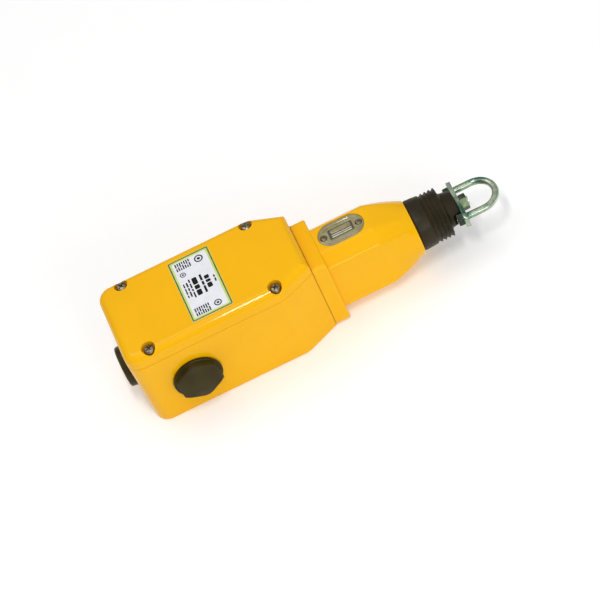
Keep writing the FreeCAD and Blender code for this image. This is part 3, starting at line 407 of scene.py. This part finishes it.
def settle(piece, name, material, body, stands_for, smooth=35):
    """Finishes a piece: doubles merged, faces outward, its material and body, its CAD node hidden.
    """
    apply_place(piece)
    edit_all(piece)
    bpy.ops.mesh.remove_doubles(threshold=0.000005)
    bpy.ops.mesh.normals_make_consistent(inside=False)
    bpy.ops.object.mode_set(mode="OBJECT")
    bpy.ops.object.shade_smooth_by_angle(angle=math.radians(smooth))
    piece.name = piece.data.name = name
    piece.data.materials.clear()
    piece.data.materials.append(material)
    if body:
        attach(piece, body)
    if stands_for:
        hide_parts(stands_for)
    return piece


def screw(thread, head, rise, shank):
    """A pan-head screw, its seat at zero, with a cross recess that is deeper in its middle."""
    piece = turned([(-shank, thread * 0.8), (-shank + thread * 0.4, thread), (-0.0001, thread),
                    (0, head * 0.97), (rise * 0.12, head), (rise * 0.45, head),
                    (rise * 0.70, head * 0.94), (rise * 0.88, head * 0.82), (rise, head * 0.60)],
                   48)
    for along, across, deep in ((1.24, 0.26, 1.0), (0.26, 1.24, 1.0), (0.42, 0.42, 1.3)):
        carve(piece, slab((head * along, head * across, rise * deep), (0, 0, rise)))
    return piece


dark_zinc = finish("dark_zinc", (0.38, 0.31, 0.20), (0.17, 0.14, 0.09), tone_scale=260.0,
                   grain_scale=1500.0, smoothest=0.28, roughest=0.48, relief=0.02,
                   worn=(0.62, 0.58, 0.48), worn_amount=0.8, metallic=1.0)
lid_screw_low, lid_screw_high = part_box("lid_screws")
lid_screw_thread, lid_screw_head, lid_screw_rise = 0.0020, 0.0040, 0.0031
lid_screw_seat = lid_screw_high.z - lid_screw_rise
lid_screw = screw(lid_screw_thread, lid_screw_head, lid_screw_rise,
                  lid_screw_seat - lid_screw_low.z)
for side, y, side_twist in (("near", lid_screw_low.y + lid_screw_head, 0),
                            ("far", lid_screw_high.y - lid_screw_head, 17)):
    for end, x, end_twist in (("rear", lid_screw_low.x + lid_screw_head, 24),
                              ("front", lid_screw_high.x - lid_screw_head, 61)):
        driven = copy_of(lid_screw)
        stand(driven, (x, y, lid_screw_seat), twist=end_twist + side_twist)
        settle(driven, f"lid_screw_{side}_{end}", dark_zinc, "housing", "lid_screws")
bpy.data.objects.remove(lid_screw)
repaint(dark_zinc, "nose_screws")

# ------------------------------------------------------------------ rating label
# A thin self-adhesive plastic label on the lid: a pale field, a light green border inside a
# thin dark line, and plain generic marks where a maker's printing would be.
label_low, label_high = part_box("rating_label")
label_middle = (label_low + label_high) / 2
label_across = label_high.x - label_low.x
label_along = label_high.y - label_low.y
ink_height = 0.00003
film_drop = 0.00004
film_top = label_high.z - film_drop


def flat_mark(along, across, place):
    """One flat mark; along runs toward the near side and across runs toward the front."""
    start_clean()
    bpy.ops.mesh.primitive_plane_add(size=1, location=(label_middle.x + place[1],
                                                       label_middle.y - place[0], film_top))
    mark = bpy.context.object
    mark.scale = (across, along, 1)
    apply_place(mark)
    return mark


def round_mark(radius, sides, place):
    """One flat disc, placed as a flat mark is."""
    start_clean()
    bpy.ops.mesh.primitive_circle_add(
        vertices=sides, radius=radius, fill_type="NGON",
        location=(label_middle.x + place[1], label_middle.y - place[0], film_top))
    mark = bpy.context.object
    apply_place(mark)
    return mark


def rounded_outline(piece, radius, steps=4):
    """Rounds the corners of a flat piece."""
    edit_all(piece)
    bpy.ops.mesh.bevel(offset=radius, segments=steps, affect="VERTICES")
    bpy.ops.object.mode_set(mode="OBJECT")


def hollowed(piece, width):
    """Leaves a line of one width round a flat piece's outline."""
    edit_all(piece)
    bpy.ops.mesh.inset(thickness=width)
    bpy.ops.mesh.delete(type="FACE")
    bpy.ops.object.mode_set(mode="OBJECT")


def joined(pieces):
    """Makes several pieces one."""
    take(pieces[0])
    for piece in pieces[1:]:
        piece.select_set(True)
    bpy.ops.object.join()
    return pieces[0]


def printed(pieces, name, material):
    """Joins flat marks into one thin printed layer."""
    layer = joined(pieces)
    apply_modifier(layer, "SOLIDIFY", thickness=ink_height, offset=1.0)
    settle(layer, name, material, "housing", None)


film = finish("label_film", (0.84, 0.84, 0.90), (0.77, 0.77, 0.83), tone_scale=90.0,
              grain_scale=1200.0, smoothest=0.32, roughest=0.45, relief=0.006,
              Specular_IOR_Level=0.4)
green_ink = finish("green_ink", (0.64, 0.72, 0.26), (0.56, 0.66, 0.20), tone_scale=300.0,
                   grain_scale=1500.0, smoothest=0.35, roughest=0.5, relief=0.004,
                   Specular_IOR_Level=0.1)
line_ink = finish("line_ink", (0.070, 0.22, 0.002), (0.050, 0.17, 0.002), tone_scale=300.0,
                  grain_scale=1500.0, smoothest=0.35, roughest=0.5, relief=0.004,
                  Specular_IOR_Level=0.1)
dark_ink = finish("dark_ink", (0.012, 0.013, 0.010), (0.007, 0.008, 0.006), tone_scale=400.0,
                  grain_scale=1500.0, smoothest=0.35, roughest=0.5, relief=0.004,
                  Specular_IOR_Level=0.1)


def round_corners(piece, corner, steps):
    """Rounds a block's four upright edges."""
    take(piece)
    bpy.ops.object.mode_set(mode="EDIT")
    bpy.ops.mesh.select_mode(type="EDGE")
    bpy.ops.mesh.select_all(action="DESELECT")
    shape = bmesh.from_edit_mesh(piece.data)
    for line in shape.edges:
        ends = [vertex.co for vertex in line.verts]
        if (ends[0] - ends[1]).xy.length < 1e-6:
            line.select_set(True)
    bmesh.update_edit_mesh(piece.data)
    bpy.ops.mesh.bevel(offset=corner, segments=steps, affect="EDGES")
    bpy.ops.mesh.select_mode(type="VERT")
    bpy.ops.object.mode_set(mode="OBJECT")


label_corner = 0.0012
backing = slab((label_across, label_along, film_top - label_low.z),
               (label_middle.x, label_middle.y, (film_top + label_low.z) / 2))
round_corners(backing, label_corner, 5)
settle(backing, "rating_label_film", film, "housing", "rating_label")

line_margin, line_width, border_width = 0.0003, 0.0010, 0.0013
border_margin = line_margin + 2 * line_width
outer_line = flat_mark(label_along - line_margin, label_across - line_margin, (0, 0))
rounded_outline(outer_line, 0.0011)
hollowed(outer_line, line_width)
printed([outer_line], "rating_label_outline", line_ink)
border = flat_mark(label_along - border_margin, label_across - border_margin, (0, 0))
rounded_outline(border, 0.0009)
hollowed(border, border_width)
printed([border], "rating_label_border", green_ink)
# Seven rows of solid blocks, each row with its place across, its height and its blocks'
# lengths in millimetres.
word_gap, row_shift = 0.0008, 0.0008
marks = []
for across, height, lengths in (
        (0.0108, 0.0011, (2.2, 3.1)), (0.0060, 0.0034, (3.2, 2.4, 4.3)),
        (0.0022, 0.0016, (5.6, 3.4, 6.3)), (-0.0024, 0.0036, (6.2, 3.6, 5.1)),
        (-0.0060, 0.0011, (3.1, 4.4, 2.1, 5.2)), (-0.0082, 0.0011, (4.2, 2.6, 5.0)),
        (-0.0104, 0.0009, (3.6, 5.5, 2.4))):
    start = row_shift - sum(lengths) / 2000 - word_gap / 2 * (len(lengths) - 1)
    for length in lengths:
        mark = flat_mark(length / 1000, height, (start + length / 2000, across))
        rounded_outline(mark, height * 0.22)
        marks.append(mark)
        start += length / 1000 + word_gap
# Small data blocks at both ends of the field: rows parted in two, each at a place of its own.
first_row, row_pitch, block_height, block_gap = -0.0006, 0.0016, 0.0009, 0.0007
for column, width in ((-0.0216, 0.0078), (0.0216, 0.0080)):
    for row, split in enumerate((0.42, 0.60, 0.50, 0.35, 0.66, 0.45, 0.55)):
        for middle, length in ((column - width * (1 - split) / 2, width * split),
                               (column + width * split / 2, width * (1 - split))):
            mark = flat_mark(length - block_gap, block_height,
                             (middle, first_row - row * row_pitch))
            rounded_outline(mark, 0.0003)
            marks.append(mark)
# Three plain ringed dots.
for along, across, radius in ((-0.0212, 0.0062, 0.0031), (-0.0136, -0.0080, 0.0021),
                              (0.0216, 0.0058, 0.0027)):
    ring = round_mark(radius, 28, (along, across))
    hollowed(ring, radius * 0.30)
    dot = round_mark(radius * 0.36, 20, (along, across))
    marks += [ring, dot]
printed(marks, "rating_label_marks", dark_ink)

# ------------------------------------------------------------------ conduit plugs
# Blanking plugs moulded from black nylon: a threaded shank, a round flange on a seal, and a
# hexagon to turn them by. The two side plugs are alike; the end plug is smaller and domed.
nylon = finish("black_nylon", (0.046, 0.035, 0.006), (0.028, 0.021, 0.004), tone_scale=50.0,
               grain_scale=1300.0, smoothest=0.30, roughest=0.44, relief=0.02,
               worn=(0.090, 0.072, 0.020), worn_amount=0.7, Specular_IOR_Level=0.14)
flange_thickness = 0.0020
side_hex_rise = 0.0034
side_hex_radius, side_flange_radius, side_thread_radius = 0.0172, 0.0174, 0.0124


def hex_block(corner_radius, low, high, chamfer):
    """A hexagonal block whose six corners are turned off at the outer face."""
    start_clean()
    bpy.ops.mesh.primitive_cylinder_add(vertices=6, radius=corner_radius, depth=high - low,
                                        location=(0, 0, (low + high) / 2))
    block = bpy.context.object
    apply_place(block)
    envelope = turned([(low - 0.001, corner_radius * 1.05),
                       (high - chamfer * 0.55, corner_radius * 1.002),
                       (high, corner_radius - chamfer)], 96)
    carve(block, envelope, "INTERSECT")
    return block


def side_plug(corner_radius, flange_radius, thread_radius):
    """A side plug made upright, with the underside of its flange at zero."""
    rise = flange_thickness
    plug = turned([(-0.0100, thread_radius * 0.93), (-0.0092, thread_radius),
                   (-0.0002, thread_radius), (0, thread_radius),
                   (0, flange_radius - 0.0005), (0.0004, flange_radius),
                   (rise - 0.0006, flange_radius), (rise - 0.0001, flange_radius - 0.0005),
                   (rise, flange_radius - 0.0012)], 96)
    carve(plug, hex_block(corner_radius, rise - 0.0008, rise + side_hex_rise, 0.0016), "UNION")
    soften(plug, 0.00035, 2)
    return plug


near_low, near_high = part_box("near_conduit_plug")
far_low, far_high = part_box("far_conduit_plug")
near_twist, far_twist = 4.5, 20
plug_blank = side_plug(side_hex_radius, side_flange_radius, side_thread_radius)
near_plug = copy_of(plug_blank)
stand(near_plug, ((near_low.x + near_high.x) / 2, near_low.y + side_hex_rise + flange_thickness,
                  (near_low.z + near_high.z) / 2), (0, -1, 0), near_twist)
settle(near_plug, "near_plug_body", nylon, "housing", "near_conduit_plug")
stand(plug_blank, ((far_low.x + far_high.x) / 2, far_high.y - side_hex_rise - flange_thickness,
                   (far_low.z + far_high.z) / 2), (0, 1, 0), far_twist)
settle(plug_blank, "far_plug_body", nylon, "housing", "far_conduit_plug")

end_low, end_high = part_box("end_conduit_plug")
end_flange_radius = (end_high.z - end_low.z) / 2
end_thread_radius = 0.0099
end_rise = 0.0042
end_plug = turned([(-0.0080, end_thread_radius - 0.0004), (-0.0074, end_thread_radius),
                   (0, end_thread_radius), (0, end_flange_radius - 0.0005),
                   (0.0005, end_flange_radius), (0.0014, end_flange_radius),
                   (flange_thickness, end_flange_radius - 0.0004), (flange_thickness, 0.0147),
                   (flange_thickness + 0.0024, 0.0145), (flange_thickness + 0.0031, 0.0140),
                   (flange_thickness + 0.0036, 0.0127), (flange_thickness + 0.0039, 0.0104),
                   (flange_thickness + 0.0041, 0.0070),
                   (flange_thickness + end_rise, 0.0030)], 96)
stand(end_plug, (end_low.x + end_rise + flange_thickness, 0, (end_low.z + end_high.z) / 2),
      (-1, 0, 0))
settle(end_plug, "end_plug_body", nylon, "housing", "end_conduit_plug", 50)

# ------------------------------------------------------------------ sight window
# A moulded clear lens, yellowed and slightly frosted, in a pocket of the nose. Its middle is sunk
# to three sight bars on a dark sheet, which is painted shade; the two thin pale bars are painted
# highlights. Two small screws hold its ends down.
pane_low, pane_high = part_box("window_pane")
pane_middle = (pane_low + pane_high) / 2
pane_length, pane_width = pane_high.x - pane_low.x, pane_high.y - pane_low.y
pane_rise = pane_high.z - pane_low.z


def rounded_slab(size, middle, corner, edge):
    """A block with its four upright edges rounded to a corner and its rims eased."""
    piece = slab(size, middle)
    round_corners(piece, corner, 8)
    if edge:
        soften(piece, edge, 3, 50)
    return piece


lens_plastic = finish("lens_plastic", (0.38, 0.33, 0.155), (0.25, 0.215, 0.09), tone_scale=160.0,
                      grain_scale=900.0, smoothest=0.12, roughest=0.26, relief=0.01,
                      worn=(0.75, 0.76, 0.70), worn_amount=0.7, Transmission_Weight=0.12,
                      Coat_Weight=0.25, Coat_Roughness=0.08)
# A flat dark colour for the sheet in the sunk sight area: painted shade.
sight_shade_paint = finish("sight_painted_shade", (0.10, 0.09, 0.045), (0.06, 0.055, 0.03), tone_scale=200.0,
                     grain_scale=900.0, smoothest=0.25, roughest=0.4, relief=0.01)
# A pale glossy colour for the two thin sight bars: painted highlight streaks.
sight_painted_highlight = finish("sight_bar", (0.55, 0.53, 0.40), (0.42, 0.40, 0.28), tone_scale=240.0,
                     grain_scale=900.0, smoothest=0.15, roughest=0.3, relief=0.02,
                     Coat_Weight=0.6, Coat_Roughness=0.05)


def drawn_out(piece, reach):
    """Parts a round form at its middle and draws the halves out along X."""
    take(piece)
    bpy.ops.object.mode_set(mode="EDIT")
    for sign in (-1, 1):
        bpy.ops.mesh.select_mode(type="VERT")
        bpy.ops.mesh.select_all(action="DESELECT")
        shape = bmesh.from_edit_mesh(piece.data)
        for vertex in shape.verts:
            vertex.select_set(vertex.co.x * sign > 1e-6)
        shape.select_flush_mode()
        bmesh.update_edit_mesh(piece.data)
        bpy.ops.transform.translate(value=(sign * reach, 0, 0))
    bpy.ops.object.mode_set(mode="OBJECT")


lens_radius = pane_width / 2
lens = turned([(0, lens_radius - 0.0003), (0.0003, lens_radius), (pane_rise - 0.0006, lens_radius),
               (pane_rise - 0.0002, lens_radius - 0.0002), (pane_rise, lens_radius - 0.0006),
               (pane_rise, lens_radius - 0.0021), (pane_rise - 0.0003, lens_radius - 0.0025),
               (pane_rise - 0.0001, lens_radius - 0.0030)], 72)
drawn_out(lens, (pane_length - pane_width) / 2)
stand(lens, (pane_middle.x, 0, pane_low.z))
sight_length, sight_width, sight_depth = 0.0179, 0.0089, 0.0009
carve(lens, rounded_slab((sight_length, sight_width, 0.002),
                         (pane_middle.x, 0, pane_high.z - sight_depth + 0.001), 0.0008, 0))
window_screw_low, window_screw_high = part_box("window_screws")
small_head = (window_screw_high.y - window_screw_low.y) / 2
small_thread, small_rise, small_shank = 0.0011, 0.0015, 0.006
small_seat = window_screw_high.z - small_rise
eyes = (window_screw_low.x + small_head, window_screw_high.x - small_head)
for x in eyes:
    bore = turned([(small_seat - 0.004, 0.0013), (small_seat - 0.0003, 0.0014),
                   (small_seat - 0.0002, small_head + 0.0001),
                   (small_seat + 0.004, small_head + 0.0014)], 48)
    stand(bore, (x, 0, 0))
    carve(lens, bore)
soften(lens, 0.00012, 2, 40)
settle(lens, "window_lens", lens_plastic, "housing", "window_pane")
sight_floor = pane_high.z - sight_depth
# A dark sheet on the sight area's floor: painted shade round and between the bars.
sight_painted_shade = rounded_slab((sight_length - 0.0002, sight_width - 0.0002, 0.0004),
                           (pane_middle.x, 0, sight_floor + 0.0002), 0.0007, 0)
settle(sight_painted_shade, "window_sight_frame", sight_shade_paint, "housing", None)
# Three bars along the sight: the far one is lens plastic; the two thin pale ones are painted
# highlights.
for row, y, width, material in (("far", 0.0019, 0.0034, lens_plastic),
                                ("middle", -0.0011, 0.0009, sight_painted_highlight),
                                ("near", -0.0028, 0.0011, sight_painted_highlight)):
    bar = rounded_slab((sight_length - 0.0030, width, 0.0007),
                       (pane_middle.x, y, sight_floor + 0.0005), width * 0.45, 0.0002)
    settle(bar, f"window_sight_bar_{row}", material, "housing", None)
window_screw = screw(small_thread, small_head - 0.00005, small_rise, small_shank)
for end, x, twist in (("rear", eyes[0], 10), ("front", eyes[1], 38)):
    driven = copy_of(window_screw)
    stand(driven, (x, 0, small_seat), twist=twist)
    settle(driven, f"window_screw_{end}", dark_zinc, "housing", "window_screws")
bpy.data.objects.remove(window_screw)

# ------------------------------------------------------------------ nose gasket
# A cut sheet of jointing fibre between the box's front face and the nose's flange. Its edge comes
# close to the flange's, so that its brown shows as a thin line along the seam: a real gasket whose
# brown is painted shade of the seam gap.
# The gasket's brown is painted shade of the seam gap.
gasket_and_seam_shade = finish("gasket_and_seam_shade", (0.60, 0.29, 0.010), (0.46, 0.21, 0.008),
                      tone_scale=300.0, grain_scale=900.0, smoothest=0.6, roughest=0.8,
                      relief=0.04, Specular_IOR_Level=0.2)
gasket_low, gasket_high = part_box("nose_seal")
gasket_middle = (gasket_low + gasket_high) / 2
gasket_size = gasket_high - gasket_low
gasket_spread = 0.0022
gasket_slack = 0.00004
turned_to_rope = Matrix.Rotation(math.radians(90), 4, "Y")
gasket = rounded_slab((gasket_size.z + gasket_spread, gasket_size.y + gasket_spread,
                       gasket_size.x - gasket_slack), (0, 0, 0), 0.0020, 0)
carve(gasket, rounded_slab((gasket_size.z * 0.62, gasket_size.y * 0.72, 0.004), (0, 0, 0),
                           0.0040, 0))
gasket.matrix_world = Matrix.Translation(gasket_middle) @ turned_to_rope
settle(gasket, "nose_gasket_sheet", gasket_and_seam_shade, "housing", "nose_seal")

# ------------------------------------------------------------------ rubber boot
# One moulded black rubber boot: a plain cuff pushed over the nose's spigot, four ridges that
# stretch as the shaft is pulled, and a neck that runs up to the shackle plate.
boot_rubber = finish("black_rubber", (0.030, 0.021, 0.006), (0.014, 0.011, 0.0035),
                     tone_scale=55.0, grain_scale=1100.0, smoothest=0.38, roughest=0.55,
                     relief=0.03, worn=(0.070, 0.058, 0.028), worn_amount=0.6,
                     Specular_IOR_Level=0.20)
boot_low, boot_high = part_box("rubber_boot")
axis_height = (boot_low.z + boot_high.z) / 2
cuff_length, ridges_length, ridge_count = 0.0110, 0.0120, 4
boot_length = boot_high.x - boot_low.x
ridge_pitch = ridges_length / ridge_count


def turned_shell(stations, sides=96):
    """A turned wall with no caps, whose last station meets its first."""
    start_clean()
    height, radius = stations[0]
    bpy.ops.mesh.primitive_circle_add(vertices=sides, radius=radius, fill_type="NOTHING",
                                      location=(0, 0, height))
    piece = bpy.context.object
    edit_all(piece)
    for (low, before), (high, after) in zip(stations, stations[1:] + stations[:1]):
        bpy.ops.mesh.extrude_region_move(TRANSFORM_OT_translate={"value": (0, 0, high - low)})
        bpy.ops.transform.resize(value=(after / before, after / before, 1),
                                 center_override=(0, 0, 0))
    bpy.ops.mesh.select_all(action="SELECT")
    bpy.ops.mesh.remove_doubles(threshold=0.00001)
    bpy.ops.object.mode_set(mode="OBJECT")
    apply_place(piece)
    return piece


profile = [(0.0, 0.0172), (0.0002, 0.0179), (0.0008, 0.0183), (0.0016, 0.0184),
           (0.0060, 0.0182), (0.0100, 0.01785), (0.0106, 0.0177), (0.0110, 0.0172)]
for ridge in range(ridge_count):
    start = cuff_length + ridge * ridge_pitch
    profile += [(start + 0.0003, 0.0167), (start + 0.0007, 0.0167), (start + 0.0016, 0.0174),
                (start + 0.0022, 0.0179), (start + 0.0025, 0.0180), (start + 0.0028, 0.0178),
                (start + 0.0029, 0.0174)]
ridges_end = cuff_length + ridges_length
profile += [(ridges_end + 0.0003, 0.0160), (ridges_end + 0.0006, 0.0135),
            (ridges_end + 0.0012, 0.0127), (ridges_end + 0.0020, 0.0125),
            (boot_length - 0.0010, 0.0117), (boot_length - 0.0003, 0.0114),
            (boot_length, 0.0108), (boot_length, 0.0053), (boot_length - 0.0060, 0.0053),
            (boot_length - 0.0062, 0.0096), (ridges_end + 0.0006, 0.0107),
            (ridges_end - 0.0008, 0.0150), (cuff_length + 0.0005, 0.0150),
            (cuff_length + 0.0002, 0.0163), (0.0, 0.0163)]
boot = turned_shell(profile, 112)
stand(boot, (boot_low.x, 0, axis_height), (1, 0, 0))
# The neck's face is pocketed where the ends of the shackle's legs stand.
nut_low, nut_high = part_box("shackle_nuts")
leg_offset = 0.0129
for side in (-1, 1):
    pocket = turned([(-0.0058, 0.0049), (-0.0050, 0.0052), (0.003, 0.0052)], 48)
    stand(pocket, (nut_high.x, side * leg_offset, axis_height), (1, 0, 0))
    carve(boot, pocket)
settle(boot, "pull_boot", boot_rubber, None, "rubber_boot", 60)
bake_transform(boot)

# ------------------------------------------------------------------ rope shackle
# A bent steel rod through a flat plate, held by a nut behind each leg, with the plate held on
# the shaft by one larger nut. Plate and rod are pale yellow-green zinc in large dark patches,
# partly uneven passivation and partly painted reflection; the nuts are darker.
# Its dark tone patches are partly uneven passivation and partly painted reflection.
zinc_and_painted_reflection = finish("yellow_zinc_painted_reflection", (0.64, 0.71, 0.54), (0.065, 0.15, 0.105), tone_scale=62.0,
                     grain_scale=900.0, smoothest=0.16, roughest=0.34, relief=0.02,
                     worn=(0.80, 0.80, 0.74), worn_amount=0.6, metallic=1.0)
zinc_olive = finish("olive_zinc", (0.15, 0.20, 0.11), (0.045, 0.070, 0.040), tone_scale=150.0,
                    grain_scale=900.0, smoothest=0.20, roughest=0.36, relief=0.02,
                    worn=(0.62, 0.66, 0.52), worn_amount=0.6, metallic=1.0)
zinc_black = finish("dark_nuts", (0.060, 0.085, 0.060), (0.030, 0.040, 0.030), tone_scale=150.0,
                    grain_scale=900.0, smoothest=0.25, roughest=0.42, relief=0.02,
                    worn=(0.30, 0.34, 0.27), worn_amount=0.6, metallic=0.9)
plate_low, plate_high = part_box("shackle_plate")
plate_middle = (plate_low + plate_high) / 2
plate_size = plate_high - plate_low
plate_corner, plate_edge = 0.0025, 0.0004
plate = rounded_slab((plate_size.z, plate_size.y, plate_size.x), (0, 0, 0), plate_corner,
                     plate_edge)
plate.matrix_world = Matrix.Translation(plate_middle) @ turned_to_rope
settle(plate, "rope_plate", zinc_and_painted_reflection, "pull_shaft_group", "shackle_plate")

rod_low, rod_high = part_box("shackle_rod")
rod_radius = 0.0025
thread_length, thread_pitch, thread_root, thread_runout = 0.0048, 0.0008, 0.86, 0.0003
bend_start = rod_high.x - leg_offset - rod_radius
start_clean()
bpy.ops.mesh.primitive_circle_add(vertices=28, radius=rod_radius * thread_root,
                                  fill_type="NGON",
                                  location=(rod_low.x, -leg_offset, axis_height),
                                  rotation=(0, math.radians(90), 0))
rod = bpy.context.object
edit_all(rod)


def run_rod(step, growth=1.0):
    """Extrudes the rod's end along X and grows or shrinks it."""
    bpy.ops.mesh.extrude_region_move(TRANSFORM_OT_translate={"value": (step, 0, 0)})
    if growth != 1.0:
        across = [v.co.y for v in bmesh.from_edit_mesh(rod.data).verts if v.select]
        middle = sum(across) / len(across) + rod.location.y
        bpy.ops.transform.resize(value=(1, growth, growth),
                                 center_override=(0, middle, axis_height))


# One leg's thread, its plain length, the bend, and the same again backwards. The thread is
# made of rings, one to a pitch.
thread_turns = int(thread_length / thread_pitch)
plain_length = bend_start - rod_low.x - thread_turns * thread_pitch - thread_runout
for turn in range(thread_turns):
    run_rod(thread_pitch / 2, 1 / thread_root)
    run_rod(thread_pitch / 2, thread_root)
run_rod(thread_runout, 1 / thread_root)
run_rod(plain_length)
bpy.ops.mesh.spin(steps=36, angle=math.pi, center=(bend_start, 0, axis_height),
                  axis=(0, 0, -1))
run_rod(-plain_length)
run_rod(-thread_runout, thread_root)
for turn in range(thread_turns):
    run_rod(-thread_pitch / 2, 1 / thread_root)
    run_rod(-thread_pitch / 2, thread_root)
bpy.ops.object.mode_set(mode="OBJECT")
settle(rod, "rope_rod", zinc_and_painted_reflection, "pull_shaft_group", "shackle_rod", 40)


def nut(flats, height, bore, name, place, direction, twist, material, node):
    """A hexagon nut with turned corners on both faces and a chamfered bore."""
    corner = flats / math.sqrt(3)
    body = hex_block(corner, 0, height, 0.0006)
    carve(body, turned([(-0.0001, corner - 0.0007), (0.0006, corner * 1.05),
                        (height + 0.001, corner * 1.06)], 96), "INTERSECT")
    carve(body, turned([(-0.001, bore + 0.0008), (0, bore + 0.0005), (0.0005, bore),
                        (height - 0.0005, bore), (height, bore + 0.0005),
                        (height + 0.001, bore + 0.0008)], 44))
    soften(body, 0.00008, 2, 40)
    stand(body, place, direction, twist)
    settle(body, name, material, "pull_shaft_group", node)


rod_nut_flats, shaft_nut_flats, shaft_thread_radius = 0.0080, 0.0100, 0.0030
for side, offset, twist in (("near", -leg_offset, 12), ("far", leg_offset, 25)):
    nut(rod_nut_flats, nut_high.x - nut_low.x, rod_radius, f"rope_rod_nut_{side}",
        (nut_high.x, offset, axis_height), (-1, 0, 0), twist, zinc_black, "shackle_nuts")
shaft_nut_low, shaft_nut_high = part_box("shaft_nut")
nut(shaft_nut_flats, shaft_nut_high.x - shaft_nut_low.x, shaft_thread_radius, "shaft_end_nut",
    (shaft_nut_low.x, 0, axis_height), (1, 0, 0), 18, zinc_olive, "shaft_nut")

# ------------------------------------------------------------------ shaft and cam
# The pull shaft is ground steel in bronze bushes. It carries a pinned collar for the return
# spring, a pale green indicator ring and a white acetal cam held by a clip.
ground = finish("ground_steel", (0.60, 0.60, 0.59), (0.48, 0.48, 0.48), tone_scale=60.0,
                grain_scale=600.0, smoothest=0.16, roughest=0.30, relief=0.01, metallic=1.0,
                stretch=(9, 1, 1), worn=(0.78, 0.78, 0.77), worn_amount=0.5)
repaint(ground, "pull_shaft", "collar_pin", "cam_retaining_clip")
bronze = finish("bronze", (0.56, 0.36, 0.16), (0.42, 0.26, 0.11), tone_scale=90.0,
                grain_scale=700.0, smoothest=0.25, roughest=0.42, relief=0.02, metallic=1.0,
                stretch=(6, 1, 1), worn=(0.72, 0.52, 0.28), worn_amount=0.5)
repaint(bronze, "front_bush", "rear_bush")
acetal = finish("acetal", (0.80, 0.79, 0.72), (0.72, 0.71, 0.64), tone_scale=70.0,
                grain_scale=900.0, smoothest=0.28, roughest=0.42, relief=0.02,
                stretch=(4, 1, 1), Specular_IOR_Level=0.45)
repaint(acetal, "spool_cam", "contact_plunger_slack", "contact_plunger_pull")
indicator = finish("indicator", (0.52, 0.60, 0.34), (0.44, 0.52, 0.28), tone_scale=80.0,
                   grain_scale=900.0, smoothest=0.2, roughest=0.35, relief=0.01)
repaint(indicator, "tension_indicator")

# ------------------------------------------------------------------ springs
# Cold-drawn spring steel: one heavy return spring between the collar and the front seat, and
# a light spring behind each contact bridge.
drawn = finish("spring_steel", (0.40, 0.40, 0.41), (0.27, 0.27, 0.28), tone_scale=300.0,
               grain_scale=1200.0, smoothest=0.24, roughest=0.40, relief=0.02, metallic=1.0)


def coil_spring(mean_radius, wire_radius, turns, length, sides=14):
    """A round-wire coil made upright, with its first turn's wire at zero."""
    start_clean()
    bpy.ops.mesh.primitive_circle_add(vertices=sides, radius=wire_radius, fill_type="NOTHING",
                                      location=(mean_radius, 0, wire_radius),
                                      rotation=(math.radians(90), 0, 0))
    coil = bpy.context.object
    apply_place(coil)
    apply_modifier(coil, "SCREW", axis="Z", angle=turns * 2 * math.pi,
                   screw_offset=length - 2 * wire_radius, steps=int(turns * 30),
                   render_steps=int(turns * 30), use_merge_vertices=False)
    edit_all(coil)
    bpy.ops.mesh.fill_holes(sides=0)
    bpy.ops.object.mode_set(mode="OBJECT")
    return coil


spring_low, spring_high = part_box("return_spring")
spring_length = spring_high.x - spring_low.x
return_radius, return_wire, return_turns = 0.0110, 0.0014, 6.5
return_coil = coil_spring(return_radius, return_wire, return_turns, spring_length)
stand(return_coil, (spring_low.x, 0, axis_height), (1, 0, 0))
settle(return_coil, "return_coil", drawn, "housing", "return_spring", 60)
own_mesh(return_coil)

contact_radius, contact_wire, contact_turns = 0.0024, 0.0003, 3.0
for end in ("slack", "pull"):
    low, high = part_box(f"contact_spring_{end}")
    middle = (low + high) / 2
    length = high.y - low.y
    coil = coil_spring(contact_radius, contact_wire, contact_turns, length, 10)
    stand(coil, (middle.x, low.y, middle.z), (0, 1, 0))
    settle(coil, f"contact_coil_{end}", drawn, "housing" if end == "slack" else None,
           f"contact_spring_{end}", 60)
    if end == "slack":
        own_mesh(coil)
    else:
        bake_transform(coil)

# ------------------------------------------------------------------ inner frame and contacts
# A zinc-plated plate on four screws carries the aluminium tail bearing and two dark moulded
# contact blocks with brass bridges and terminals; an earth screw stands at the rear.
plated = finish("zinc_plate", (0.60, 0.62, 0.66), (0.50, 0.52, 0.56), tone_scale=70.0,
                grain_scale=900.0, smoothest=0.24, roughest=0.40, relief=0.02, metallic=1.0,
                worn=(0.75, 0.76, 0.78), worn_amount=0.5)
repaint(plated, "mounting_plate", "mounting_plate_screws", "tail_block_screws",
        "contact_block_screws", "spring_collar")
cast = finish("grey_aluminium", (0.52, 0.53, 0.54), (0.42, 0.43, 0.44), tone_scale=90.0,
              grain_scale=500.0, smoothest=0.38, roughest=0.55, relief=0.06, metallic=1.0,
              worn=(0.70, 0.70, 0.71), worn_amount=0.6)
repaint(cast, "tail_bearing_block")
brass = finish("contact_brass", (0.70, 0.52, 0.22), (0.58, 0.42, 0.16), tone_scale=120.0,
               grain_scale=900.0, smoothest=0.20, roughest=0.36, relief=0.02, metallic=1.0,
               worn=(0.85, 0.70, 0.42), worn_amount=0.5)
repaint(brass, "contact_bridge_slack", "contact_bridge_pull", "contact_terminals_slack",
        "contact_terminals_pull", "terminal_screws", "earth_screw", "earth_washer")
moulded = finish("contact_plastic", (0.060, 0.065, 0.072), (0.042, 0.046, 0.052),
                 tone_scale=60.0, grain_scale=1000.0, smoothest=0.40, roughest=0.55,
                 relief=0.03, worn=(0.12, 0.125, 0.13), worn_amount=0.5)
repaint(moulded, "contact_block_slack", "contact_block_pull", "contact_cover_slack",
        "contact_cover_pull")
